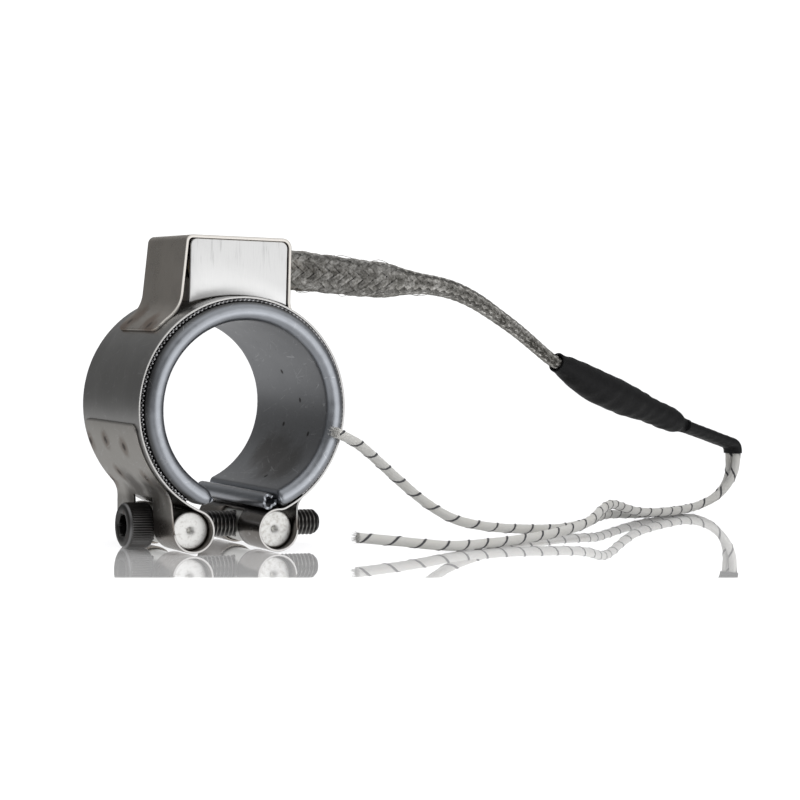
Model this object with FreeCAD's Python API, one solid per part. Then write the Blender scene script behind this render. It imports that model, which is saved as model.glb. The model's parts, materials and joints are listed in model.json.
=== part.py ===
import FreeCAD, Part
import math
import os

# Nozzle band heater with barrel clamp, box-type lead exit, braided sleeve and
# two bare-ended fibreglass leads.
# Frame: origin at the centre of the clamp bore, +Y along the bore (the front
# rim faces -Y), +X along the clamp screw towards its threaded end, +Z up
# towards the terminal box.  Millimetres.

# ---------------------------------------------------------------- dimensions
BORE_R = 16.0            # clamp bore radius
SHEET = 0.5              # inner sheath sheet thickness
RIM_R = 1.7              # outer radius of the rounded rims
RIM_Y = 14.9             # rim centre circles at +-RIM_Y
LIP_Y = 12.6             # returned lips of the sheath end here
GAP_DEG = 22.0           # half of the sheath's gap, measured from -Z
BAND_R0, BAND_R1 = 19.45, 19.95   # outer sheath band with crimped edges
BAND_Y = 14.25
BAND_L_DEG, BAND_R_DEG = 33.0, 37.0

STRAP_T = 0.4            # clamp strap sheet
STRAP_RC = 20.2          # centreline radius of the strap on the ring
STRAP_Y = 14.4           # half width
LOOP_RC = 3.8            # centreline radius of the loops round the barrels
LEAF_INSET = 1.5         # the welded leaf is narrower at each edge
SLOT_HALF = 4.7          # half width of the screw slot in the loops
BARREL_R = 3.5
BARREL_HALF = 12.4
PIN_L_X = -9.18
PIN_R_X = 7.53
PIN_Z = -math.sqrt((STRAP_RC + LOOP_RC) ** 2 - PIN_L_X ** 2)
SCREW_R = 2.45           # M5 thread, crest radius
SCREW_HOLE_THREAD = 2.50
SCREW_HOLE_PLAIN = 2.75
HEAD_R = 4.23
HEAD_X0, HEAD_X1 = -17.6, -12.6
SCREW_END_X = 21.9
FLOOR_Z = PIN_Z - HEAD_R

BOX_Y = 9.4              # half width of the cover strap
COVER_T = 0.6
COVER_TOP = 31.35        # outer top face
COVER_RX = 11.1          # outer right face
PLATE_X0, PLATE_X1 = -9.05, 10.35
PLATE_T = 0.5
PLATE_TOP = COVER_TOP - COVER_T - 0.02
PLATE_ARCH_R = 30.0
PLATE_ARCH_TOP = 20.56
EXIT_Z = 25.95           # axis of the lead exit
FERR_R = 3.7

BRAID_R0 = 3.9           # bunched part of the braid next to the box
BRAID_R = 1.95
BRAID_X0 = 11.5          # the braid starts at the end of its ferrule
LEAD_R = 0.95

V = FreeCAD.Vector
os.makedirs("parts", exist_ok=True)
PARTS = {}


def keep(name, shape):
    shape = shape.removeSplitter() if len(shape.Solids) >= 1 else shape
    ok = shape.isValid()
    PARTS[name] = shape
    shape.exportStep("parts/%s.step" % name)
    bb = shape.optimalBoundingBox(False)
    print("%-20s solids %d valid %s vol %9.2f  x %.1f %.1f y %.1f %.1f z %.1f %.1f" % (
        name, len(shape.Solids), ok, shape.Volume, bb.XMin, bb.XMax, bb.YMin, bb.YMax, bb.ZMin, bb.ZMax))


def xz(x, z, y=0.0):
    return V(x, y, z)


def pol(r, deg, c=(0.0, 0.0)):
    a = math.radians(deg)
    return (c[0] + r * math.cos(a), c[1] + r * math.sin(a))


def prism(edges, y0, y1):
    """Closed XZ outline (edges lie in y=0) pushed from y0 to y1."""
    w = Part.Wire(edges)
    f = Part.Face(w)
    f.translate(V(0, y0, 0))
    return f.extrude(V(0, y1 - y0, 0))


def arc_edge(c, r, a0, a1):
    am = 0.5 * (a0 + a1)
    p0, pm, p1 = pol(r, a0, c), pol(r, am, c), pol(r, a1, c)
    return Part.Arc(xz(*p0), xz(*pm), xz(*p1)).toShape()


def line_edge(p, q):
    return Part.LineSegment(xz(*p), xz(*q)).toShape()


def sector(r0, r1, a0, a1, y0, y1, c=(0.0, 0.0)):
    """Ring sector about an axis parallel to Y."""
    e = [arc_edge(c, r1, a0, a1), line_edge(pol(r1, a1, c), pol(r0, a1, c)),
         arc_edge(c, r0, a1, a0), line_edge(pol(r0, a0, c), pol(r1, a0, c))]
    return prism(e, y0, y1)


def bar(p, q, t, y0, y1):
    """Flat sheet between two centreline points."""
    dx, dz = q[0] - p[0], q[1] - p[1]
    n = math.hypot(dx, dz)
    nx, nz = -dz / n * t / 2, dx / n * t / 2
    pts = [(p[0] + nx, p[1] + nz), (q[0] + nx, q[1] + nz), (q[0] - nx, q[1] - nz), (p[0] - nx, p[1] - nz)]
    e = [line_edge(pts[i], pts[(i + 1) % 4]) for i in range(4)]
    return prism(e, y0, y1)


def fuse(shapes):
    s = shapes[0]
    if len(shapes) > 1:
        s = s.fuse(shapes[1:])
    return s.removeSplitter()


def cyl(p, d, r, h):
    return Part.makeCylinder(r, h, V(*p), V(*d))


def box(x0, x1, y0, y1, z0, z1):
    return Part.makeBox(x1 - x0, y1 - y0, z1 - z0, V(x0, y0, z0))


def cyl_y(r, y0, y1, x=0.0, z=0.0):
    return Part.makeCylinder(r, y1 - y0, V(x, y0, z), V(0, 1, 0))


# ------------------------------------------------------------- inner sheath
# One formed sheet: bore wall, half-round rims, short returned lips; both ends
# of the C are closed by small end walls.
rc = BORE_R + RIM_R


def yz(y, r):
    return V(r, y, 0)


def rim_section():
    """Section in the X-Y plane (X is the radius), turned about Y afterwards."""
    ro, ri = RIM_R, RIM_R - SHEET
    b = BORE_R
    e = []
    p = [yz(-RIM_Y, b), yz(RIM_Y, b)]
    e.append(Part.LineSegment(p[0], p[1]).toShape())
    e.append(Part.Arc(yz(RIM_Y, b), yz(RIM_Y + ro, rc), yz(RIM_Y, rc + ro)).toShape())
    e.append(Part.LineSegment(yz(RIM_Y, rc + ro), yz(LIP_Y, rc + ro)).toShape())
    e.append(Part.LineSegment(yz(LIP_Y, rc + ro), yz(LIP_Y, rc + ri)).toShape())
    e.append(Part.LineSegment(yz(LIP_Y, rc + ri), yz(RIM_Y, rc + ri)).toShape())
    e.append(Part.Arc(yz(RIM_Y, rc + ri), yz(RIM_Y + ri, rc), yz(RIM_Y, rc - ri)).toShape())
    e.append(Part.LineSegment(yz(RIM_Y, rc - ri), yz(-RIM_Y, rc - ri)).toShape())
    e.append(Part.Arc(yz(-RIM_Y, rc - ri), yz(-RIM_Y - ri, rc), yz(-RIM_Y, rc + ri)).toShape())
    e.append(Part.LineSegment(yz(-RIM_Y, rc + ri), yz(-LIP_Y, rc + ri)).toShape())
    e.append(Part.LineSegment(yz(-LIP_Y, rc + ri), yz(-LIP_Y, rc + ro)).toShape())
    e.append(Part.LineSegment(yz(-LIP_Y, rc + ro), yz(-RIM_Y, rc + ro)).toShape())
    e.append(Part.Arc(yz(-RIM_Y, rc + ro), yz(-RIM_Y - ro, rc), yz(-RIM_Y, b)).toShape())
    return Part.Face(Part.Wire(e))


def full_section():
    ro = RIM_R
    b = BORE_R
    e = [Part.LineSegment(yz(-RIM_Y, b), yz(RIM_Y, b)).toShape(),
         Part.Arc(yz(RIM_Y, b), yz(RIM_Y + ro, rc), yz(RIM_Y, rc + ro)).toShape(),
         Part.LineSegment(yz(RIM_Y, rc + ro), yz(-RIM_Y, rc + ro)).toShape(),
         Part.Arc(yz(-RIM_Y, rc + ro), yz(-RIM_Y - ro, rc), yz(-RIM_Y, b)).toShape()]
    return Part.Face(Part.Wire(e))


def turn(face, a0, a1):
    """Turn a section (in the X-Y plane, radius = X) about Y from angle a0 to a1
    (degrees in the X-Z plane, counter-clockwise from +X towards +Z)."""
    f = face.copy()
    # a rotation about +Y takes +X towards -Z, so angles are negated
    f.rotate(V(0, 0, 0), V(0, 1, 0), -a0)
    return f.revolve(V(0, 0, 0), V(0, 1, 0), -(a1 - a0))


A_RIGHT = -90.0 + GAP_DEG            # right end of the C
A_LEFT = 270.0 - GAP_DEG             # left end of the C
end_deg = math.degrees(SHEET / rc)
sheath = turn(rim_section(), A_RIGHT, A_LEFT)
wall_l = turn(full_section(), A_LEFT - end_deg, A_LEFT)
wall_r = turn(full_section(), A_RIGHT, A_RIGHT + end_deg)
sheath = fuse([sheath, wall_l, wall_r])
keep("inner_sheath", sheath)

# folded tail of the sheet that closes the right end: an open roll along Y
nx, nz = -math.cos(math.radians(GAP_DEG)), -math.sin(math.radians(GAP_DEG))
ROLL_R = 1.45
mid = pol(17.5, A_RIGHT)
roll_c = (mid[0] + nx * (ROLL_R + 0.04), mid[1] + nz * (ROLL_R + 0.04))
roll = sector(ROLL_R - 0.5, ROLL_R, 62.0, 372.0, -15.1, 16.1, roll_c)
keep("end_roll", roll)

# ------------------------------------------------- insulation and element
a0, a1 = A_RIGHT + end_deg + 0.8, A_LEFT - end_deg - 0.8
keep("mica_inner", sector(16.53, 17.03, a0, a1, -14.2, 14.2))
rib = sector(17.06, 17.21, a0 + 2, a1 - 2, -13.4, 13.4)
n_slots = 44
cuts = []
span = (a1 - 2) - (a0 + 2)
for i in range(n_slots):
    am = a0 + 2 + span * (i + 1) / (n_slots + 1)
    half = 0.9
    if abs(am - 98.4) < 4.0:
        continue
    if i % 2 == 0:
        cuts.append(sector(16.9, 17.4, am - half, am + half, -12.0, 14.0))
    else:
        cuts.append(sector(16.9, 17.4, am - half, am + half, -14.0, 12.0))
rib = rib.cut(cuts)
keep("heating_ribbon", rib)

TERM_X, TERM_Y = -3.0, 2.3
stud_holes = [cyl((TERM_X, s * TERM_Y, 16.9), (0, 0, 1), 1.5, 8.0) for s in (-1, 1)]
keep("mica_outer", sector(17.25, 17.75, a0, a1, -14.2, 14.2).cut(stud_holes))
keep("insulation_pad", sector(17.78, 18.86, a0, a1, -12.4, 12.4).cut(stud_holes))
band = sector(BAND_R0, BAND_R1, -90 + BAND_R_DEG, 270 - BAND_L_DEG, -BAND_Y, BAND_Y).cut(stud_holes)
keep("outer_sheath", band)

# ------------------------------------------------------------- clamp strap
T = STRAP_T
RL = STRAP_RC + T                     # centreline of the welded leaves
PL = (PIN_L_X, PIN_Z)
PR = (PIN_R_X, PIN_Z)


def leaf_solution(c, alpha, rho, side):
    """Line tangent to the loop (centre c, radius LOOP_RC) at angle alpha, and a
    fillet of radius rho that joins it to the leaf circle RL."""
    tx, tz = pol(LOOP_RC, alpha, c)
    ux, uz = -math.sin(math.radians(alpha)), math.cos(math.radians(alpha))
    if side < 0:
        ux, uz = -ux, -uz          # upwards on the left loop
    nxx, nzz = math.cos(math.radians(alpha)), math.sin(math.radians(alpha))
    bx, bz = tx + rho * nxx, tz + rho * nzz
    # |b + s u| = RL + rho, the larger root that climbs
    bb = bx * ux + bz * uz
    cc = bx * bx + bz * bz - (RL + rho) ** 2
    s = -bb - math.sqrt(bb * bb - cc)
    if s < 0:
        s = -bb + math.sqrt(bb * bb - cc)
    f = (bx + s * ux, bz + s * uz)
    lt = (tx + s * ux, tz + s * uz)              # line meets the fillet here
    ang = math.degrees(math.atan2(f[1], f[0]))
    return (tx, tz), lt, f, ang


def leaf_parts(c, alpha, rho, side, top_deg):
    t, lt, f, ang = leaf_solution(c, alpha, rho, side)
    parts = [bar(t, lt, T, -STRAP_Y, STRAP_Y)]
    a_line = math.degrees(math.atan2(lt[1] - f[1], lt[0] - f[0]))
    a_ring = math.degrees(math.atan2(-f[1], -f[0]))
    d = (a_ring - a_line + 180) % 360 - 180
    parts.append(sector(rho - T / 2, rho + T / 2, a_line, a_line + d, -STRAP_Y, STRAP_Y, f))
    d2 = (top_deg - ang + 180) % 360 - 180
    parts.append(sector(RL - T / 2, RL + T / 2, ang, ang + d2, -STRAP_Y, STRAP_Y))
    print("leaf", side, "leaves ring at %.1f deg" % ang, "line from", [round(v, 2) for v in t], "to", [round(v, 2) for v in lt])
    return parts


AL, AR = 184.0, -3.0
left = leaf_parts(PL, AL, 5.0, -1, 188.4)
right = leaf_parts(PR, AR, 3.2, 1, -8.4)
touch = math.degrees(math.atan2(-PL[1], -PL[0]))
left.append(sector(LOOP_RC - T / 2, LOOP_RC + T / 2, AL, 360 + touch, -STRAP_Y, STRAP_Y, PL))
right.append(sector(LOOP_RC - T / 2, LOOP_RC + T / 2, 90, 360 + AR, -STRAP_Y, STRAP_Y, PR))
left, right = fuse(left), fuse(right)

# side edges of the returning leaves taper inwards, with rounded ends
def taper(side):
    z0, z1 = PIN_Z - 3.0, -14.0
    out = []
    for s in (-1, 1):
        yo, yi = s * (STRAP_Y + 1), s * (STRAP_Y - LEAF_INSET)
        pts = [V(0, s * STRAP_Y, z0), V(0, yi, z1), V(0, yi, 2.0), V(0, yo, 2.0), V(0, yo, z0)]
        w = Part.makePolygon(pts + [pts[0]])
        f = Part.Face(w)
        f.translate(V(-26 if side < 0 else PIN_R_X, 0, 0))
        p = f.extrude(V(26 + PIN_L_X if side < 0 else 26 - PIN_R_X, 0, 0))
        p = p.cut(cyl_y(STRAP_RC + T / 2 + 0.01, -20, 20))
        out.append(p)
    return out


left = left.cut(taper(-1))
right = right.cut(taper(1))


def corner_cut(side):
    """Rounds the two corners of a leaf's free end (radius 1.6)."""
    r = 1.6
    z = RL * math.sin(math.radians(188.4))
    out = []
    for s in (-1, 1):
        y = s * (STRAP_Y - LEAF_INSET)
        b = box(-26 if side < 0 else 12, -12 if side < 0 else 26, min(y, y - s * r), max(y, y - s * r), z - r, z + 0.5)
        c = cyl((-27 if side < 0 else 11, y - s * r, z - r), (1, 0, 0), r, 16)
        out.append(b.cut(c))
    return out


left = left.cut(corner_cut(-1))
right = right.cut(corner_cut(1))

# long slot for the screw: up the leaf, round the loop, to near its top
def slot(side):
    zc = -19.35
    x0, x1 = (-20.0, PIN_L_X) if side < 0 else (PIN_R_X, 20.0)
    a = box(x0, x1, -SLOT_HALF, SLOT_HALF, PIN_Z - 6, zc)
    b = cyl((x0, 0, zc), (1, 0, 0), SLOT_HALF, x1 - x0)
    c = fuse([a, b]).cut(cyl_y(STRAP_RC + T / 2 + 0.01, -20, 20))
    x2, x3 = (PIN_L_X - 0.01, PIN_L_X + 6) if side < 0 else (PIN_R_X - 6, PIN_R_X + 0.01)
    d = box(x2, x3, -SLOT_HALF, SLOT_HALF, PIN_Z - 6, PIN_Z + 3.2)
    return [c, d]


left = left.cut(slot(-1))
right = right.cut(slot(1))

zt = PIN_Z + LOOP_RC
rho = 2.4
xf = math.sqrt((STRAP_RC - rho) ** 2 - (zt + rho) ** 2)
fc = (xf, zt + rho)
a_tan = math.degrees(math.atan2(fc[1], fc[0]))
main = [sector(STRAP_RC - T / 2, STRAP_RC + T / 2, a_tan, 180 + touch, -STRAP_Y, STRAP_Y),
        sector(rho - T / 2, rho + T / 2, a_tan, -90.0, -STRAP_Y, STRAP_Y, fc),
        bar((xf, zt), (PIN_R_X, zt), T, -STRAP_Y, STRAP_Y)]
main = fuse(main)
strap = fuse([main, left, right])
strap = strap.cut(stud_holes)
keep("clamp_strap", strap)

# ---------------------------------------------------------------- barrels
def barrel(x, hole_r):
    b = cyl_y(BARREL_R, -BARREL_HALF, BARREL_HALF, x, PIN_Z)
    b = b.makeChamfer(0.25, [e for e in b.Edges if e.Curve.TypeId == "Part::GeomCircle"])
    for s in (-1, 1):
        c = Part.makeCone(0.75, 0.0, 0.7, V(x, s * BARREL_HALF, PIN_Z), V(0, -s, 0))
        b = b.cut(c)
    return b.cut(cyl((x - 6, 0, PIN_Z), (1, 0, 0), hole_r, 12))


plain = barrel(PIN_L_X, SCREW_HOLE_PLAIN)
plain = plain.cut(cyl((HEAD_X1 - 2.0, 0, PIN_Z), (1, 0, 0), HEAD_R + 0.25, 2.0))
keep("plain_barrel", plain)
keep("threaded_barrel", barrel(PIN_R_X, SCREW_HOLE_THREAD))

# ------------------------------------------------------------ clamp screw
head = cyl((HEAD_X0, 0, PIN_Z), (1, 0, 0), HEAD_R, HEAD_X1 - HEAD_X0 - 0.02)
head = head.makeFillet(0.6, [e for e in head.Edges if e.Curve.TypeId == "Part::GeomCircle" and abs(e.CenterOfMass.x - HEAD_X0) < 0.01])
hexr = 2.0 / math.cos(math.radians(30))
pts = [V(HEAD_X0 - 0.1, hexr * math.cos(math.radians(60 * i)), PIN_Z + hexr * math.sin(math.radians(60 * i))) for i in range(6)]
hexf = Part.Face(Part.makePolygon(pts + [pts[0]]))
head = head.cut(hexf.extrude(V(2.6, 0, 0)))
head = head.cut(Part.makeCone(2.0, 0.0, 1.0, V(HEAD_X0 + 2.5, 0, PIN_Z), V(1, 0, 0)))
shank = cyl((HEAD_X1 - 0.5, 0, PIN_Z), (1, 0, 0), SCREW_R, SCREW_END_X - HEAD_X1 + 0.5)
shank = shank.makeChamfer(0.7, [e for e in shank.Edges if e.Curve.TypeId == "Part::GeomCircle" and e.CenterOfMass.x > SCREW_END_X - 0.01])
keep("clamp_screw", fuse([head, shank]))

# --------------------------------------------------------------- box cover
CT = COVER_T
RF = STRAP_RC + T / 2 + CT / 2        # centreline radius of the feet
FOOT_DEG = 138.7
lean = math.radians(5.2)
rho_l, rho_r = 6.0, 4.0
# left side line: through the top corner start, leaning outwards downwards
lx, lz = -9.62, COVER_TOP - CT / 2    # where the centrelines of side and top would meet
ux, uz = -math.sin(lean), -math.cos(lean)       # downwards along the side
nlx, nlz = -math.cos(lean), math.sin(lean)      # outwards
bx, bz = lx + rho_l * nlx, lz + rho_l * nlz
bb = bx * ux + bz * uz
cc = bx * bx + bz * bz - (RF + rho_l) ** 2
s = -bb - math.sqrt(bb * bb - cc)
fl = (bx + s * ux, bz + s * uz)
sl = (lx + s * ux, lz + s * uz)
rcn = 1.1                              # corner radius, centreline
# top-left corner: interior angle between the leaning side and the level top
half = (math.radians(90) + lean) / 2
back = rcn / math.tan(half) if half else rcn
back = rcn * math.tan((math.pi - 2 * half) / 2)
c_side = (lx + back * ux, lz + back * uz)
c_top = (lx + back, lz)
cl = (c_top[0], lz - rcn)
rx = COVER_RX - CT / 2
rcr = 1.5
# right side, vertical
bx, bz = rx + rho_r, 0.0
zr = math.sqrt((RF + rho_r) ** 2 - bx * bx)
fr = (bx, zr)


def sector_between(c, r, p, q, t, y0, y1):
    a = math.degrees(math.atan2(p[1] - c[1], p[0] - c[0]))
    b = math.degrees(math.atan2(q[1] - c[1], q[0] - c[0]))
    d = (b - a + 180) % 360 - 180
    return sector(r - t / 2, r + t / 2, a, a + d, y0, y1, c)


aL = math.degrees(math.atan2(fl[1], fl[0]))
aR = math.degrees(math.atan2(fr[1], fr[0]))
cov = [sector(RF - CT / 2, RF + CT / 2, aL, FOOT_DEG, -BOX_Y, BOX_Y),
       sector_between(fl, rho_l, pol(RF, aL), sl, CT, -BOX_Y, BOX_Y),
       bar(sl, c_side, CT, -BOX_Y, BOX_Y),
       sector_between(cl, rcn, c_side, c_top, CT, -BOX_Y, BOX_Y),
       bar(c_top, (rx - rcr, lz), CT, -BOX_Y, BOX_Y),
       sector(rcr - CT / 2, rcr + CT / 2, 0.0, 90.0, -BOX_Y, BOX_Y, (rx - rcr, lz - rcr)),
       bar((rx, lz - rcr), (rx, zr), CT, -BOX_Y, BOX_Y),
       sector_between(fr, rho_r, (rx, zr), pol(RF, aR), CT, -BOX_Y, BOX_Y),
       sector(RF - CT / 2, RF + CT / 2, 180 - FOOT_DEG, aR, -BOX_Y, BOX_Y)]
print("cover feet leave the ring at %.1f and %.1f deg" % (aL, aR), "corner", [round(v, 2) for v in c_side])
cover = fuse(cov)
# rounded corners of the feet
for sx in (-1, 1):
    for sy in (-1, 1):
        zf = RF * math.sin(math.radians(FOOT_DEG))
        r = 1.5
        y = sy * BOX_Y
        b = box(-22 if sx < 0 else 12, -12 if sx < 0 else 22, min(y, y - sy * r), max(y, y - sy * r), zf - 0.6, zf + r)
        c = cyl((-23 if sx < 0 else 11, y - sy * r, zf + r), (1, 0, 0), r, 12)
        cover = cover.cut(b.cut(c))
cover = cover.cut(cyl((COVER_RX - 2, 0, EXIT_Z), (1, 0, 0), FERR_R + 0.02, 4))
keep("box_cover", cover)

# ------------------------------------------------- front and back plates
za = PLATE_ARCH_TOP - PLATE_ARCH_R
xa = 0.5 * (PLATE_X0 + PLATE_X1)


def plate(y0, y1, flange_y):
    e = []
    rr = 1.3
    x0, x1, zt_ = PLATE_X0, PLATE_X1, PLATE_TOP
    zl = za + math.sqrt(PLATE_ARCH_R ** 2 - (x0 - xa) ** 2)
    zrr = za + math.sqrt(PLATE_ARCH_R ** 2 - (x1 - xa) ** 2)
    e.append(Part.Arc(xz(x0, zl), xz(xa, PLATE_ARCH_TOP), xz(x1, zrr)).toShape())
    e.append(line_edge((x1, zrr), (x1, zt_ - rr)))
    e.append(arc_edge((x1 - rr, zt_ - rr), rr, 0, 90))
    e.append(line_edge((x1 - rr, zt_), (x0 + rr, zt_)))
    e.append(arc_edge((x0 + rr, zt_ - rr), rr, 90, 180))
    e.append(line_edge((x0, zt_ - rr), (x0, zl)))
    p = prism(e, y0, y1)
    fl_ = box(x0 + rr + 0.4, x1 - rr - 0.4, min(y0, flange_y), max(y1, flange_y), zt_ - PLATE_T, zt_)
    return fuse([p, fl_])


keep("box_front_plate", plate(-BOX_Y + 0.15, -BOX_Y + 0.15 + PLATE_T, -BOX_Y + 4.2))
keep("box_back_plate", plate(BOX_Y - 0.15 - PLATE_T, BOX_Y - 0.15, BOX_Y - 4.2))

# ------------------------------------------------------- inside the box
blk = box(-6.5, 1.2, -5.2, 5.2, 18.0, 23.6).cut(cyl_y(20.46, -20, 20))
blk = blk.cut([cyl((TERM_X, s * TERM_Y, 16.9), (0, 0, 1), 0.93, 9.0) for s in (-1, 1)])
keep("terminal_block", blk)
for s, nm in ((-1, "a"), (1, "b")):
    stud = cyl((TERM_X, s * TERM_Y, 17.11), (0, 0, 1), 0.88, 7.72)
    crimp = cyl((-4.2, s * TERM_Y, EXIT_Z), (1, 0, 0), 1.45, 6.0).cut(cyl((-3.4, s * TERM_Y, EXIT_Z), (1, 0, 0), 0.97, 6.5))
    keep("terminal_" + nm, fuse([stud, crimp]))
    keep("lead_tail_" + nm, cyl((-3.3, s * TERM_Y, EXIT_Z), (1, 0, 0), LEAD_R, BRAID_X0 + 3.28))
ferr = fuse([cyl((9.5, 0, EXIT_Z), (1, 0, 0), FERR_R, BRAID_X0 - 9.52), cyl((9.5, 0, EXIT_Z), (1, 0, 0), 4.2, 0.7)])
ferr = ferr.cut(cyl((9.0, 0, EXIT_Z), (1, 0, 0), 3.3, 5.0))
keep("braid_ferrule", ferr)

# ------------------------------------------------------------- free cords
def route_tube(pts, r, label, start_face=True):
    """Straight runs joined by tangent arcs; arc radius 0.45 of the shorter run
    over the tangent of half the turn."""
    P = [V(*p) for p in pts]
    edges = []
    cur = P[0]
    radii = []
    length = 0.0
    for i in range(1, len(P) - 1):
        a, b = P[i] - P[i - 1], P[i + 1] - P[i]
        la, lb = a.Length, b.Length
        ua, ub = V(a).normalize(), V(b).normalize()
        turn_ = ua.getAngle(ub)
        cut_ = 0.45 * min(la, lb)
        rad = cut_ / math.tan(turn_ / 2)
        radii.append((round(rad, 1), round(math.degrees(turn_), 1)))
        p = P[i] - ua * cut_
        q = P[i] + ub * cut_
        edges.append(Part.LineSegment(cur, p).toShape())
        length += (p - cur).Length
        bis = (ub - ua).normalize()
        m = P[i] + bis * (math.sqrt(rad * rad + cut_ * cut_) - rad)
        edges.append(Part.Arc(p, m, q).toShape())
        length += rad * turn_
        cur = q
    edges.append(Part.LineSegment(cur, P[-1]).toShape())
    length += (P[-1] - cur).Length
    w = Part.Wire(edges)
    circ = Part.Wire(Part.makeCircle(r, P[0], P[1] - P[0]))
    tube = w.makePipeShell([circ], True, False)
    want = math.pi * r * r * length
    runs = [round((P[i + 1] - P[i]).Length, 1) for i in range(len(P) - 1)]
    print(label, "length %.1f" % length, "vol/section*len %.4f" % (tube.Volume / want), "min radius", min(radii), "valid", tube.isValid())
    print("   runs", runs)
    print("   radii", [v[0] for v in radii])
    return tube, length


# braid: bunched next to the box, then slim
D_SHR = V(48.2, 21.0, -14.1).normalize()
BRAID = [(36.0, 1.35, 24.62), (41.2, 2.2, 24.4), (46.6, 3.1, 24.2), (53.0, 4.5, 23.4), (59.4, 6.1, 21.4), (65.6, 7.9, 18.5), (71.6, 9.7, 15.6), (77.4, 11.5, 12.3), (81.6, 12.9, 9.9), (85.2, 14.4, 8.5)]
SHRINK = [(85.2, 14.4, 8.5), (133.0, 35.2, -5.5)]
ELBOW_START = (152.1, 44.35, -9.8)

f0, f1 = V(BRAID_X0, 0, EXIT_Z), V(36.0, 1.35, 24.62)
LF = (f1 - f0).Length
prof = [(-0.8, BRAID_R0), (12.5, 3.55), (LF, 3.3), (LF + 5.6, 1.4)]
e = [Part.LineSegment(V(0, 0, prof[0][0]), V(prof[0][1], 0, prof[0][0])).toShape()]
for i in range(len(prof) - 1):
    e.append(Part.LineSegment(V(prof[i][1], 0, prof[i][0]), V(prof[i + 1][1], 0, prof[i + 1][0])).toShape())
e.append(Part.LineSegment(V(prof[-1][1], 0, prof[-1][0]), V(0, 0, prof[-1][0])).toShape())
e.append(Part.LineSegment(V(0, 0, prof[-1][0]), V(0, 0, prof[0][0])).toShape())
fat = Part.Face(Part.Wire(e)).revolve(V(0, 0, 0), V(0, 0, 1), 360)
fat.Placement = FreeCAD.Placement(f0, FreeCAD.Rotation(V(0, 0, 1), f1 - f0))
slim, L_braid = route_tube(BRAID, BRAID_R, "braid")
braid = fat.fuse(slim).cut(box(5, BRAID_X0, -8, 8, 15, 35))
print("braid centreline from the box %.1f" % (LF + L_braid))

# large heat-shrink: turned outline on a straight axis
s0, s1 = V(*SHRINK[0]), V(*SHRINK[1])
LS = (s1 - s0).Length
prof = [(0.0, 2.15), (3.5, 2.75), (10.0, 3.25), (20.0, 3.5), (28.0, 3.4), (36.0, 2.9), (46.0, 2.45), (LS, 2.15)]
e = [Part.LineSegment(V(0, 0, 0), V(prof[0][1], 0, 0)).toShape()]
for i in range(len(prof) - 1):
    e.append(Part.LineSegment(V(prof[i][1], 0, prof[i][0]), V(prof[i + 1][1], 0, prof[i + 1][0])).toShape())
e.append(Part.LineSegment(V(prof[-1][1], 0, LS), V(0, 0, LS)).toShape())
e.append(Part.LineSegment(V(0, 0, LS), V(0, 0, 0)).toShape())
shr = Part.Face(Part.Wire(e)).revolve(V(0, 0, 0), V(0, 0, 1), 360)
shr.Placement = FreeCAD.Placement(s0, FreeCAD.Rotation(V(0, 0, 1), s1 - s0))
keep("heat_shrink_large", shr)
keep("braid_sleeve", braid.cut(shr))

# small heat-shrink: flat oval tube over the two leads, its end bent down
ELBOW_R, ELBOW_DEG = 2.4, 75.0
e0, e1 = s1, V(*ELBOW_START)
ax = (e1 - e0)
LS2 = ax.Length
zax = V(ax).normalize()
lat = V(-ax.y, ax.x, 0).normalize()
upv = zax.cross(lat).normalize()
wr, wo = 1.45, 0.95
p = [V(-wo, -wr, 0), V(wo, -wr, 0), V(wo + wr, 0, 0), V(wo, wr, 0), V(-wo, wr, 0), V(-wo - wr, 0, 0)]
ee = [Part.LineSegment(p[0], p[1]).toShape(), Part.Arc(p[1], p[2], p[3]).toShape(), Part.LineSegment(p[3], p[4]).toShape(), Part.Arc(p[4], p[5], p[0]).toShape()]
oval = Part.Face(Part.Wire(ee))
ov = oval.extrude(V(0, 0, LS2 + 0.3))
ov.translate(V(0, 0, -0.3))
ov2 = oval.copy()
ov2.translate(V(0, 0, LS2))
ov2 = ov2.revolve(V(0, -ELBOW_R, LS2), V(1, 0, 0), ELBOW_DEG)
if ov2.BoundBox.ZMax < LS2 + 1.0:
    ov2 = oval.copy()
    ov2.translate(V(0, 0, LS2))
    ov2 = ov2.revolve(V(0, -ELBOW_R, LS2), V(1, 0, 0), -ELBOW_DEG)
ov = ov.fuse(ov2)
if upv.z < 0:
    lat = lat * -1
    upv = upv * -1
m = FreeCAD.Matrix(lat.x, upv.x, zax.x, e0.x, lat.y, upv.y, zax.y, e0.y, lat.z, upv.z, zax.z, e0.z, 0, 0, 0, 1)
print("frame determinant %.3f" % m.determinant())
ov.Placement = FreeCAD.Placement(m)
ov = ov.cut(shr)
keep("heat_shrink_small", ov)
th = math.radians(ELBOW_DEG)
E1 = e1 + zax * (ELBOW_R * math.sin(th)) - upv * (ELBOW_R * (1 - math.cos(th)))
out = zax * math.cos(th) - upv * math.sin(th)
back_ = lat if lat.y > 0 else lat * -1

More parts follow.
